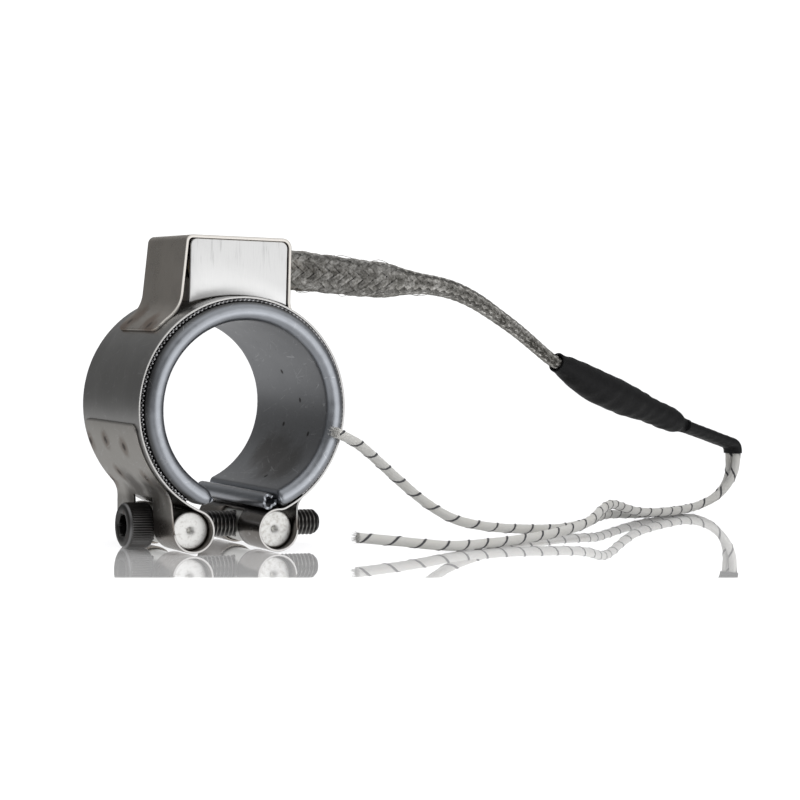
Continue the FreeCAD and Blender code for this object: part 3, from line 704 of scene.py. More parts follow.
def build_strap(mat):
    touch = math.degrees(math.atan2(-PL[1], -PL[0]))
    AL, AR = 184.0, -3.0
    left = leaf_path(PL, AL, 5.0, -1, 188.4)
    right = leaf_path(PR, AR, 3.2, 1, -8.4)[::-1]
    loop_l = arc_pts(PL, LOOP_RC, AL, 360 + touch, 5.0)
    zt = PIN_Z + LOOP_RC
    rho = 2.4
    xf = math.sqrt((STRAP_RC - rho) ** 2 - (zt + rho) ** 2)
    a_tan = math.degrees(math.atan2(zt + rho, xf))
    ring = arc_pts((0, 0), STRAP_RC, 180 + touch, a_tan, 1.2)
    fil = arc_pts((xf, zt + rho), rho, a_tan, -90.0, 6.0)
    loop_r = arc_pts(PR, LOOP_RC, 90.0, 360 + AR, 5.0)
    segs = [("leaf_l", left), ("loop_l", loop_l), ("ring", ring), ("fil", fil), ("loop_r", loop_r), ("leaf_r", right)]
    path, tag = [], []
    for nm, pts in segs:
        for p in pts:
            if path and math.hypot(p[0] - path[-1][0], p[1] - path[-1][1]) < 0.02:
                continue
            path.append(p)
            tag.append(nm)
    n = len(path)
    P = np.array(path)
    seg = np.concatenate([[0], np.cumsum(np.hypot(*np.diff(P, axis=0).T))])
    Y0 = [-14.4, -14.15, -12.0, -8.0, -4.7, -4.5, 0.0, 4.5, 4.7, 8.0, 12.0, 14.15, 14.4]
    Y0 = [-14.4, -14.1, -11.0, -7.8, -4.7, -2.0, 2.0, 4.7, 7.8, 11.0, 14.1, 14.4]

    def half(i):
        """Half width of the strap at point i."""
        nm = tag[i]
        if nm in ("ring", "fil"):
            return STRAP_Y
        z = P[i][1]
        if nm.startswith("leaf"):
            t_ = min(1.0, max(0.0, (z - (PIN_Z - 3.0)) / 11.0))
            w = STRAP_Y - 1.5 * t_
            d = seg[i] if nm == "leaf_l" else seg[-1] - seg[i]
            if d < 1.6:
                w -= 1.6 - math.sqrt(max(0.0, 1.6 ** 2 - (1.6 - d) ** 2))
            return w
        if nm == "loop_l":
            return STRAP_Y - 0.0
        return STRAP_Y

    def in_slot(i):
        nm = tag[i]
        x, z = P[i]
        if nm == "leaf_l" or nm == "leaf_r":
            return z < -16.6
        if nm == "loop_l":
            return not (x > PIN_L_X and z > PIN_Z + 3.0)
        if nm == "loop_r":
            return not (x < PIN_R_X and z > PIN_Z + 3.0) and not z > PIN_Z + 3.3
        return False

    w = len(Y0)
    vs, fs = [], []
    for i in range(n):
        h = half(i)
        for y in Y0:
            a = abs(y)
            yy = a if a <= 4.7 else 4.7 + (a - 4.7) * (h - 4.7) / (14.4 - 4.7)
            dr = 0.0
            vs.append((P[i][0], math.copysign(yy, y), P[i][1]))
    mid_cols = [j for j in range(w - 1) if abs(Y0[j]) <= 4.71 and abs(Y0[j + 1]) <= 4.71]
    for i in range(n - 1):
        s = in_slot(i) and in_slot(i + 1)
        for j in range(w - 1):
            if s and j in mid_cols:
                continue
            fs.append((i * w + j, i * w + j + 1, (i + 1) * w + j + 1, (i + 1) * w + j))
    ob = mesh_object("strap", vs, fs, mat, replaces=["clamp_strap"])
    clean_loose(ob)
    so = ob.modifiers.new("thick", "SOLIDIFY")
    so.thickness = T * MM
    so.offset = 0.0
    so.use_even_offset = True
    so.use_rim = True
    bv = ob.modifiers.new("bevel", "BEVEL")
    bv.width = 0.07 * MM
    bv.segments = 2
    bv.limit_method = "ANGLE"
    bv.angle_limit = math.radians(60)
    apply_mods(ob)
    fix_normals(ob)
    sharp_by_angle(ob, 50)
    return ob


def clean_loose(ob):
    bm = bmesh.new()
    bm.from_mesh(ob.data)
    bmesh.ops.delete(bm, geom=[v for v in bm.verts if not v.link_faces], context="VERTS")
    bm.to_mesh(ob.data)
    bm.free()


# -------------------------------------------------------------- the box
def cover_path():
    CT = 0.6
    RF = STRAP_RC + T / 2 + CT / 2 + 0.02
    lean = math.radians(5.2)
    rho_l, rho_r = 6.0, 4.0
    lz = 31.35 - CT / 2
    lx = -9.62
    ux, uz = -math.sin(lean), -math.cos(lean)
    nlx, nlz = -math.cos(lean), math.sin(lean)
    bx, bz = lx + rho_l * nlx, lz + rho_l * nlz
    bb = bx * ux + bz * uz
    cc = bx * bx + bz * bz - (RF + rho_l) ** 2
    s = -bb - math.sqrt(bb * bb - cc)
    fl = (bx + s * ux, bz + s * uz)
    sl = (lx + s * ux, lz + s * uz)
    rcn = 1.1
    half = (math.radians(90) + lean) / 2
    back = rcn * math.tan((math.pi - 2 * half) / 2)
    c_side = (lx + back * ux, lz + back * uz)
    c_top = (lx + back, lz)
    cl = (c_top[0], lz - rcn)
    rx = 11.1 - CT / 2
    rcr = 1.5
    bx = rx + rho_r
    zr = math.sqrt((RF + rho_r) ** 2 - bx * bx)
    fr = (bx, zr)
    aL = math.degrees(math.atan2(fl[1], fl[0]))
    aR = math.degrees(math.atan2(fr[1], fr[0]))

    def between(c, r, p, q, step=6.0):
        a = math.degrees(math.atan2(p[1] - c[1], p[0] - c[0]))
        b = math.degrees(math.atan2(q[1] - c[1], q[0] - c[0]))
        d = (b - a + 180) % 360 - 180
        return arc_pts(c, r, a, a + d, step)

    pts = arc_pts((0, 0), RF, 138.7, aL, 1.2)
    pts += between(fl, rho_l, pol(RF, aL), sl)
    k = 8
    pts += [(sl[0] + (c_side[0] - sl[0]) * i / k, sl[1] + (c_side[1] - sl[1]) * i / k) for i in range(k + 1)]
    pts += between(cl, rcn, c_side, c_top, 12)
    pts += [(c_top[0] + (rx - rcr - c_top[0]) * i / 8, lz) for i in range(9)]
    pts += arc_pts((rx - rcr, lz - rcr), rcr, 90.0, 0.0, 12)
    pts += [(rx, lz - rcr + (zr - lz + rcr) * i / 8) for i in range(9)]
    pts += between(fr, rho_r, (rx, zr), pol(RF, aR))
    pts += arc_pts((0, 0), RF, aR, 41.3, 1.2)
    out = [pts[0]]
    for p in pts[1:]:
        if math.hypot(p[0] - out[-1][0], p[1] - out[-1][1]) > 0.02:
            out.append(p)
    return out


def build_cover(mat):
    P = np.array(cover_path())
    seg = np.concatenate([[0], np.cumsum(np.hypot(*np.diff(P, axis=0).T))])
    Y0 = [-9.4, -9.1, -7.0, -4.0, 0.0, 4.0, 7.0, 9.1, 9.4]
    w = len(Y0)
    vs, fs = [], []
    for i in range(len(P)):
        d = min(seg[i], seg[-1] - seg[i])
        h = 9.4
        if d < 1.5:
            h -= 1.5 - math.sqrt(max(0.0, 1.5 ** 2 - (1.5 - d) ** 2))
        z = P[i][1]
        for y in Y0:
            yy = y * h / 9.4
            x = P[i][0]
            # the side walls are drawn in a little between their edges
            if 20.5 < z < 30.3:
                q = math.sin(math.pi * (z - 20.5) / 9.8) * (1 - (abs(yy) / 9.4) ** 2)
                x += (0.16 if x < 0 else -0.12) * q
            vs.append((x, yy, z - (0.10 * (1 - (abs(yy) / 9.4) ** 2) * (1 - min(1, abs(x) / 9.0) ** 2) if z > 30.9 else 0.0)))
    for i in range(len(P) - 1):
        for j in range(w - 1):
            fs.append((i * w + j, i * w + j + 1, (i + 1) * w + j + 1, (i + 1) * w + j))
    ob = mesh_object("cover", vs, fs, mat, replaces=["box_cover"])
    so = ob.modifiers.new("thick", "SOLIDIFY")
    so.thickness = 0.6 * MM
    so.offset = 0.0
    so.use_even_offset = True
    bv = ob.modifiers.new("bevel", "BEVEL")
    bv.width = 0.12 * MM
    bv.segments = 2
    bv.limit_method = "ANGLE"
    bv.angle_limit = math.radians(60)
    apply_mods(ob)
    fix_normals(ob)
    sharp_by_angle(ob, 50)
    return ob


def build_plate(name, node, side, mat):
    """Flat end plate with an arched foot, rounded upper corners and a short folded flange inside the cover."""
    x0, x1, zt = -9.05, 10.35, 30.73
    rr = 1.3
    za, ra = 20.56 - 30.0, 30.0
    xa = 0.5 * (x0 + x1)
    out = []
    for i in range(25):
        x = x0 + (x1 - x0) * i / 24
        out.append((x, za + math.sqrt(ra * ra - (x - xa) ** 2)))
    out += [(x1, 22.0), (x1, 26.0)]
    out += arc_pts((x1 - rr, zt - rr), rr, 0, 90, 9)
    out += [(x, zt) for x in (6, 2, -2, -6)]
    out += arc_pts((x0 + rr, zt - rr), rr, 90, 180, 9)
    out += [(x0, 26.0), (x0, 22.0)]
    out = [out[0]] + [p for i, p in enumerate(out[1:]) if math.hypot(p[0] - out[i][0], p[1] - out[i][1]) > 1e-3]
    yf = side * 9.25
    yb = side * 8.75
    n = len(out)
    vs = [(x, yf, z) for x, z in out] + [(x, yb, z) for x, z in out]
    fs = [tuple(range(n)), tuple(range(2 * n - 1, n - 1, -1))] + [(i, (i + 1) % n, n + (i + 1) % n, n + i) for i in range(n)]
    ob = mesh_object(name, vs, fs, mat, replaces=[node])
    fix_normals(ob)
    bevel(ob, 0.2, 3, 50)
    fx0, fx1 = x0 + rr + 0.4, x1 - rr - 0.4
    lo = (fx0, min(side * 5.2, side * 8.9), zt - 0.5)
    hi = (fx1, max(side * 5.2, side * 8.9), zt - 0.02)
    x_0, y_0, z_0 = lo
    x_1, y_1, z_1 = hi
    vs = [(x_0, y_0, z_0), (x_1, y_0, z_0), (x_1, y_1, z_0), (x_0, y_1, z_0), (x_0, y_0, z_1), (x_1, y_0, z_1), (x_1, y_1, z_1), (x_0, y_1, z_1)]
    fs = [(0, 3, 2, 1), (4, 5, 6, 7), (0, 1, 5, 4), (1, 2, 6, 5), (2, 3, 7, 6), (3, 0, 4, 7)]
    fl = mesh_object(name + "_flange", vs, fs, mat)
    bevel(fl, 0.15, 2, 50)
    return ob


# ------------------------------------------------------ barrels and screw
def build_barrel(name, node, x, hole, mat, pocket):
    prof = [(0.0 + 0.55, 0.0001), (0.30, 0.32), (0.10, 0.62), (0.0, 0.80), (0.0, 1.5), (0.0, 2.4), (0.0, 3.1), (0.02, 3.30), (0.10, 3.43), (0.25, 3.5)]
    full = [(12.4 - s, r) for s, r in prof]
    body = [(12.4 - s, r) for s, r in prof] + [(y, 3.5) for y in (9, 6, 4, 2, 0, -2, -4, -6, -9)] + [(-(12.4 - s), r) for s, r in prof[::-1]]
    vs, fs = lathe([(-s, r) for s, r in body], (x, 0, PIN_Z), (0, 1, 0), 96, up=(1, 0, 0))
    n = 96
    fs.append(tuple(range(n)))
    k = (len(body) - 1) * n
    fs.append(tuple(range(k + n - 1, k - 1, -1)))
    ob = mesh_object(name, vs, fs, mat, replaces=[node])
    fix_normals(ob)
    boolean(ob, tmp_cyl((x - 6, 0, PIN_Z), (1, 0, 0), hole, 12, 64))
    if pocket:
        boolean(ob, tmp_cyl((-14.6, 0, PIN_Z), (1, 0, 0), 4.48, 2.0, 64))
    bpy.context.view_layer.update()
    sharp_by_angle(ob, 38)
    return ob


def build_screw(mat):
    """M5 x 35 socket head cap screw: knurled head, hexagon socket, rolled thread."""
    X0, X1, XE = -17.6, -12.62, 21.9
    Z = PIN_Z
    kn = 54
    n = kn * 6
    sec = []
    # (x, base radius, knurl depth)
    prof = [(X0, 2.55, 0), (X0 - 0.0, 3.35, 0), (X0 + 0.06, 3.62, 0), (X0 + 0.28, 3.98, 0), (X0 + 0.52, 4.16, 0), (X0 + 0.62, 4.2, 0.0), (X0 + 0.78, 4.2, 0.7), (X0 + 0.95, 4.2, 1.0), (X0 + 2.2, 4.2, 1.0),
            (X1 - 0.75, 4.2, 1.0), (X1 - 0.55, 4.2, 0.8), (X1 - 0.42, 4.18, 0), (X1 - 0.12, 4.12, 0), (X1, 4.0, 0), (X1, 3.0, 0), (X1 + 0.02, 2.42, 0)]
    vs, fs = [], []
    for (x, r, kd) in prof:
        for i in range(n):
            a = 2 * math.pi * i / n
            ph = (i % 6) / 6.0
            groove = (0.5 - 0.5 * math.cos(2 * math.pi * ph))
            rr = r + kd * (0.03 - 0.14 * (1 - groove) ** 2)
            rr = min(rr, 4.228)
            vs.append((x, rr * math.cos(a), Z + rr * math.sin(a)))
    for k in range(len(prof) - 1):
        for i in range(n):
            j = (i + 1) % n
            fs.append((k * n + i, k * n + j, (k + 1) * n + j, (k + 1) * n + i))
    # socket: round countersink, then the hexagon, then a drill point
    hexr = 2.0 / math.cos(math.radians(30))
    rows = []
    def hexa(a, r_flat):
        t = (math.degrees(a) % 60) - 30
        return r_flat / math.cos(math.radians(t))
    def row(x, fn):
        b = len(vs)
        for i in range(n):
            a = 2 * math.pi * i / n
            r = fn(a)
            vs.append((x, r * math.cos(a), Z + r * math.sin(a)))
        rows.append(b)
    row(X0 + 0.10, lambda a: min(2.36, hexa(a, 2.12) + 0.1))
    row(X0 + 0.30, lambda a: min(hexa(a, 2.0), 2.31))
    row(X0 + 1.5, lambda a: hexa(a, 1.99))
    row(X0 + 2.5, lambda a: hexa(a, 1.98))
    row(X0 + 2.52, lambda a: 1.7)
    row(X0 + 3.2, lambda a: 0.4)
    chain = [0] + rows
    for k in range(len(chain) - 1):
        for i in range(n):
            j = (i + 1) % n
            fs.append((chain[k] + i, chain[k + 1] + i, chain[k + 1] + j, chain[k] + j))
    fs.append(tuple(rows[-1] + i for i in range(n)))
    # threaded shank: a smooth grid in the angle and along the axis
    nt = 72
    pitch = 0.8
    xs = [X1 - 0.1, X1 + 0.3, X1 + 0.9] + list(np.arange(X1 + 1.0, XE + 0.001, 0.1))
    b0 = len(vs)
    for x in xs:
        for i in range(nt):
            a = 2 * math.pi * i / nt
            ph = ((x - X1) / pitch - i / nt) % 1.0
            tri = abs(2 * ph - 1)
            h = min(1.0, max(0.0, (tri - 0.13) / 0.72))
            depth = 0.0 if x < X1 + 0.95 else min(1.0, (x - X1 - 0.9) / 0.8)
            r = 2.44 - 0.43 * depth * (1 - h)
            e = XE - x
            if e < 0.85:
                r = min(r, 1.75 + e * 0.85)
            vs.append((x, r * math.cos(a), Z + r * math.sin(a)))
    for k in range(len(xs) - 1):
        for i in range(nt):
            j = (i + 1) % nt
            fs.append((b0 + k * nt + i, b0 + k * nt + j, b0 + (k + 1) * nt + j, b0 + (k + 1) * nt + i))
    e0 = b0 + (len(xs) - 1) * nt
    c = len(vs)
    for i in range(nt):
        a = 2 * math.pi * i / nt
        vs.append((XE - 0.12, 0.9 * math.cos(a), Z + 0.9 * math.sin(a)))
    for i in range(nt):
        j = (i + 1) % nt
        fs.append((e0 + i, e0 + j, c + j, c + i))
    fs.append(tuple(c + i for i in range(nt)))
    fs.append(tuple(b0 + i for i in range(nt - 1, -1, -1)))
    ob = mesh_object("cap_screw", vs, fs, mat, body=SCREW, replaces=["clamp_screw"])
    # the last row of the head closes onto the shank
    fix_normals(ob)
    sharp_by_angle(ob, 42)
    return ob


# ------------------------------------------------------------------ cords
BRAID_ROUTE = [(11.2, 0.0, 25.95), (17.6, 0.1, 25.75), (23.9, 0.3, 25.3), (30.0, 0.8, 24.85), (36.0, 1.35, 24.62), (41.2, 2.2, 24.4), (46.6, 3.1, 24.2), (53.0, 4.5, 23.4), (59.4, 6.1, 21.4),
               (65.6, 7.9, 18.5), (71.6, 9.7, 15.6), (77.4, 11.5, 12.3), (81.6, 12.9, 9.9), (85.2, 14.4, 8.5), (88.2, 15.6, 7.5)]
SHRINK = [(84.2, 14.0, 9.05), (87.31, 15.19, 7.87), (95.47, 18.4, 4.6), (106.33, 23.2, 1.6), (117.83, 28.3, -1.4), (131.45, 34.5, -5.1), (133.4, 35.4, -5.5)]
ELBOW = [(131.4, 34.5, -5.15), (137.0, 37.15, -6.4), (143.6, 40.3, -7.9), (150.5, 43.6, -9.45), (153.73, 45.13, -10.17), (153.83, 45.18, -12.15)]
LEAD_A = [(154.26, 44.28, -12.0), (154.28, 44.27, -14.7), (153.52, 44.37, -17.5), (151.76, 44.65, -20.4), (148.7, 44.9, -22.9), (144.5, 45.0, -24.5),
          (137.8, 41.7, -25.2), (130.6, 37.0, -25.15), (122.6, 32.2, -24.8), (114.6, 27.6, -24.1), (107.2, 22.0, -22.5), (99.8, 15.2, -21.0),
          (92.0, 6.9, -21.4), (84.4, -0.5, -23.3), (76.2, -5.5, -24.3), (66.8, -10.2, -24.9), (57.4, -13.9, -25.35), (48.6, -17.0, -25.45),
          (41.4, -19.9, -25.45), (34.6, -21.5, -24.75), (27.6, -21.6, -23.9), (20.3, -21.2, -23.25)]
LEAD_B = [(153.4, 46.08, -12.0), (153.95, 46.5, -14.7), (153.95, 46.65, -17.5), (152.8, 46.8, -20.5), (149.9, 47.0, -23.2), (145.6, 47.3, -24.95),
          (139.2, 44.9, -25.45), (131.4, 40.5, -25.45), (122.8, 35.7, -25.4), (114.2, 30.8, -24.9), (105.2, 24.8, -24.2), (98.2, 18.2, -24.2),
          (91.2, 11.9, -24.9), (82.4, 7.1, -25.35), (73.2, 3.6, -25.0), (64.6, 0.5, -24.4), (56.6, -2.6, -23.4), (49.4, -4.2, -21.8),
          (42.6, -5.2, -18.2), (36.0, -7.9, -14.1), (29.8, -11.3, -10.3), (24.5, -14.9, -7.3), (20.3, -17.25, -5.3), (16.6, -18.4, -4.05)]


def build_braid(mat, core_shade_mat):
    """Wire braid: two sets of flat bundles of fine wire, woven two over and two under."""
    P = nurbs_points(BRAID_ROUTE)
    Q, s, L = resample(P, 0.42)
    T_, N_, B_ = frames(Q)
    X = Q[:, 0]
    az = np.interp(X, [11, 14, 23, 33, 37, 40, 45, 53, 67, 79, 90], [3.95, 3.85, 3.6, 3.5, 3.35, 2.62, 2.02, 1.86, 1.52, 1.34, 1.30])
    by = np.interp(X, [11, 14, 23, 33, 37, 40, 45, 53, 67, 79, 90], [3.2, 3.2, 3.1, 3.1, 3.0, 2.5, 2.0, 1.86, 1.52, 1.34, 1.30])
    # smoothed, with a few lumps where the braid is bunched
    k = np.ones(9) / 9
    az = np.convolve(np.pad(az, 4, mode="edge"), k, "valid")
    by = np.convolve(np.pad(by, 4, mode="edge"), k, "valid")
    lump = 0.07 * np.sin(s * 1.1 + 0.6) + 0.05 * np.sin(s * 2.3)
    fat = np.clip((38 - X) / 6, 0, 1)
    az += lump * fat
    by += lump[::-1] * fat
    NC, LT = 12, 26.0
    WIRES = 6
    vs, fs = [], []
    prof = []
    for w in range(WIRES):
        prof += [(-1 + 2 * (w + 0.12) / WIRES, -0.35), (-1 + 2 * (w + 0.5) / WIRES, 1.0)]
    prof += [(0.98, -0.35)]
    npf = len(prof)
    rs = np.random.default_rng(5)
    for d in (1, -1):
        for c in range(NC):
            base = 2 * math.pi * c / NC + 0.13
            jit = rs.normal(0, 0.035)
            ph1, ph2 = rs.uniform(0, 6.28, 2)
            b = len(vs)
            for i in range(len(Q)):
                ang = base + d * 2 * math.pi * s[i] / LT + jit * math.sin(s[i] * 0.25 + ph1)
                kap = 2 * c + d * 24.0 * s[i] / LT
                h = math.cos(2 * math.pi * (kap - 0.5) / 4)
                h = math.tanh(1.7 * h) / math.tanh(1.7) * d
                e = np.array([math.cos(ang) * az[i], math.sin(ang) * by[i]])
                R = math.hypot(*e)
                spacing = 2 * math.pi * R / NC
                alpha = math.atan(2 * math.pi * R / LT)
                wid = min(1.42, spacing * math.cos(alpha) * 0.98) / 2
                th = 0.115 if R > 2.2 else 0.095
                amp = th * 0.95
                nrm = N_[i] * math.cos(ang) / az[i] + B_[i] * math.sin(ang) / by[i]
                nrm /= np.linalg.norm(nrm)
                tang = -N_[i] * math.sin(ang) * az[i] + B_[i] * math.cos(ang) * by[i]
                tang /= np.linalg.norm(tang)
                dirn = T_[i] * math.cos(alpha) + tang * math.sin(alpha) * d
                lat = np.cross(nrm, dirn)
                cen = Q[i] + N_[i] * e[0] + B_[i] * e[1] + nrm * (amp * h - 0.1)
                wid *= 1 + 0.06 * math.sin(s[i] * 0.9 + ph2)
                for u, hh in prof:
                    crown = -0.10 * u * u
                    vs.append(tuple(cen + lat * (u * wid) + nrm * (hh * th * 0.5 + crown)))
                # underside
                vs.append(tuple(cen + lat * (wid * 0.9) - nrm * th * 0.9))
                vs.append(tuple(cen - lat * (wid * 0.9) - nrm * th * 0.9))
            w = npf + 2
            for i in range(len(Q) - 1):
                for j in range(w):
                    q = (j + 1) % w
                    f = (b + i * w + j, b + i * w + q, b + (i + 1) * w + q, b + (i + 1) * w + j)
                    fs.append(f)
            fs.append(tuple(b + j for j in range(w)))
            fs.append(tuple(b + (len(Q) - 1) * w + j for j in range(w - 1, -1, -1)))
    nb = len(fs)
    # inner core, near black as painted shade, so that the weave is not seen through
    def rad(i, a):
        r = 1 / math.sqrt((math.cos(a) / az[i]) ** 2 + (math.sin(a) / by[i]) ** 2)
        return r - 0.22
    cv, cf = tube_mesh(Q[::3], lambda i, a: rad(min(i * 3, len(Q) - 1), a), 24)
    o = len(vs)
    vs += cv
    fs += [tuple(o + v for v in f) for f in cf]
    # a few broken wires that stand off the bunched part
    for k_ in range(26):
        i0 = int(rs.uniform(6, 66 if k_ < 18 else 150))
        a = rs.uniform(0, 6.28)
        ln = rs.uniform(2.0, 4.5)
        lift = rs.uniform(0.12, 0.45)
        d = 1 if rs.random() < 0.5 else -1
        pts = []
        for q in range(9):
            t = q / 8
            i = min(len(Q) - 1, i0 + int(round(t * ln / 0.42)))
            aa = a + d * 2 * math.pi * (t * ln) / LT
            off = math.sin(math.pi * t) * lift + 0.06
            nrm = N_[i] * math.cos(aa) / az[i] + B_[i] * math.sin(aa) / by[i]
            nrm /= np.linalg.norm(nrm)
            pts.append(Q[i] + N_[i] * math.cos(aa) * az[i] + B_[i] * math.sin(aa) * by[i] + nrm * off)
        tv, tf = tube_mesh(np.array(pts), 0.055, 5)
        o = len(vs)
        vs += tv
        fs += [tuple(o + v for v in f) for f in tf]
    fm = [0] * nb + [1] * len(cf) + [0] * (len(fs) - nb - len(cf))
    ob = mesh_object("wire_braid", vs, fs, mat, replaces=["braid_sleeve"], mats=[mat, core_shade_mat], face_mat=fm)
    fix_normals(ob)
    sharp_by_angle(ob, 62)
    return ob, Q, L


def build_shrink_large(mat):
    P = nurbs_points(SHRINK)
    Q, s, L = resample(P, 0.5)
    # a little overlap beyond the end, closing on the small tube
    key_s = [0, 0.6, 2.0, 4.0, 6.0, 9, 13, 17, 22, 26, 30, 33, 36, 39, 42, 45, 47.5, 49.5, 50.8, 51.6, L]
    key_r = [2.02, 1.98, 2.12, 2.45, 2.85, 3.1, 3.35, 3.5, 3.5, 3.45, 3.3, 3.05, 2.85, 2.72, 2.68, 2.66, 2.62, 2.5, 2.15, 1.75, 1.5]
    r0 = np.interp(s, [k * L / key_s[-2] if k > 60 else k for k in key_s], key_r)
    k = np.ones(5) / 5
    r0 = np.convolve(np.pad(r0, 2, mode="edge"), k, "valid")
    r0[0] = 2.02
    rs = np.random.default_rng(3)
    waves = [(rs.uniform(0.35, 1.6), rs.integers(1, 5), rs.uniform(0, 6.28), rs.uniform(0.25, 1)) for _ in range(14)]

    def rad(i, a):
        si = s[i]
        w = 0.0
        for f, k_, p, am in waves:
            w += am * math.sin(f * si + k_ * a + p)
        w *= 0.028
        # flattened a little, the splices press out as two low ridges
        ov = 1 + 0.05 * math.cos(2 * a)
        ridge = 0.10 * math.exp(-((si - 24) / 9) ** 2) * (math.exp(-((a - 1.2) / 0.35) ** 2) + math.exp(-((a - 4.5) / 0.35) ** 2))
        edge = min(1.0, si / 3.0)
        return r0[i] * ov + w * edge + ridge

    n = 48
    vs, fs = tube_mesh(Q, rad, n, caps=False)
    T_, N_, B_ = frames(Q)
    # inner wall of the open mouth
    b = len(vs)
    depth = 8
    for i in range(depth + 1):
        for k_ in range(n):
            a = 2 * math.pi * k_ / n
            r = rad(i, a) - 0.38 - 0.02 * i
            vs.append(tuple(Q[i] + (N_[i] * math.cos(a) + B_[i] * math.sin(a)) * r))
    for k_ in range(n):
        j = (k_ + 1) % n
        fs.append((k_, b + k_, b + j, j))
    for i in range(depth):
        for k_ in range(n):
            j = (k_ + 1) % n
            fs.append((b + i * n + k_, b + (i + 1) * n + k_, b + (i + 1) * n + j, b + i * n + j))
    fs.append(tuple(b + depth * n + k_ for k_ in range(n)))
    e = (len(Q) - 1) * n
    fs.append(tuple(e + k_ for k_ in range(n)))
    ob = mesh_object("shrink_large", vs, fs, mat, replaces=["heat_shrink_large"])
    fix_normals(ob)
    sharp_by_angle(ob, 60)
    return ob


def build_shrink_small(mat):
    Q, s, L = resample(nurbs_points(ELBOW, 20), 0.42)
    rs = np.random.default_rng(9)
    waves = [(rs.uniform(0.5, 2.2), rs.integers(1, 4), rs.uniform(0, 6.28), rs.uniform(0.2, 1)) for _ in range(8)]

    def rad(i, a):
        w = sum(am * math.sin(f * s[i] + k_ * a + p) for f, k_, p, am in waves) * 0.016
        va, vb = 1.36, 2.3
        end = max(0.0, (s[i] - (L - 3.0)) / 3.0)
        # folds on the inside of the bend
        fold = 0.07 * math.sin(s[i] * 7.5) * math.exp(-((s[i] - (L - 2.6)) / 1.1) ** 2) * max(0.0, -math.cos(a))
        va += 0.10 * math.sin(math.pi * min(1, end)) - 0.02 * end
        p_ = 2.4
        r = (abs(math.cos(a) / va) ** p_ + abs(math.sin(a) / vb) ** p_) ** (-1 / p_)
        return r + w + fold

    n = 40
    vs, fs = tube_mesh(Q, rad, n, caps=False)
    T_, N_, B_ = frames(Q)
    b = len(vs)
    depth = 5
    for q in range(depth + 1):
        i = len(Q) - 1 - q
        for k_ in range(n):
            a = 2 * math.pi * k_ / n
            r = rad(i, a) - 0.30 - 0.02 * q
            vs.append(tuple(Q[i] + (N_[i] * math.cos(a) + B_[i] * math.sin(a)) * r))
    e = (len(Q) - 1) * n
    for k_ in range(n):
        j = (k_ + 1) % n
        fs.append((e + k_, e + j, b + j, b + k_))
    for q in range(depth):
        for k_ in range(n):
            j = (k_ + 1) % n
            fs.append((b + q * n + k_, b + q * n + j, b + (q + 1) * n + j, b + (q + 1) * n + k_))
    fs.append(tuple(b + depth * n + k_ for k_ in range(n)))
    fs.append(tuple(range(n)))
    ob = mesh_object("shrink_small", vs, fs, mat, replaces=["heat_shrink_small"])
    fix_normals(ob)
    sharp_by_angle(ob, 60)
    return ob


def add_uv_run(ob, n, rows, s, start=0):
    """UV layer 'run': u once round the tube, v along it in mm. The first rows*n vertices are the tube."""
    uv = ob.data.uv_layers.new(name="run")
    me = ob.data
    for poly in me.polygons:
        ids = [me.loops[l].vertex_index for l in poly.loop_indices]
        if max(ids) >= rows * n:
            continue
        cols = [v % n for v in ids]
        wrap = max(cols) - min(cols) > n // 2
        for l, v in zip(poly.loop_indices, ids):
            c = v % n
            if wrap and c < n // 2:
                c += n
            uv.data[l].uv = (c / n, s[v // n])


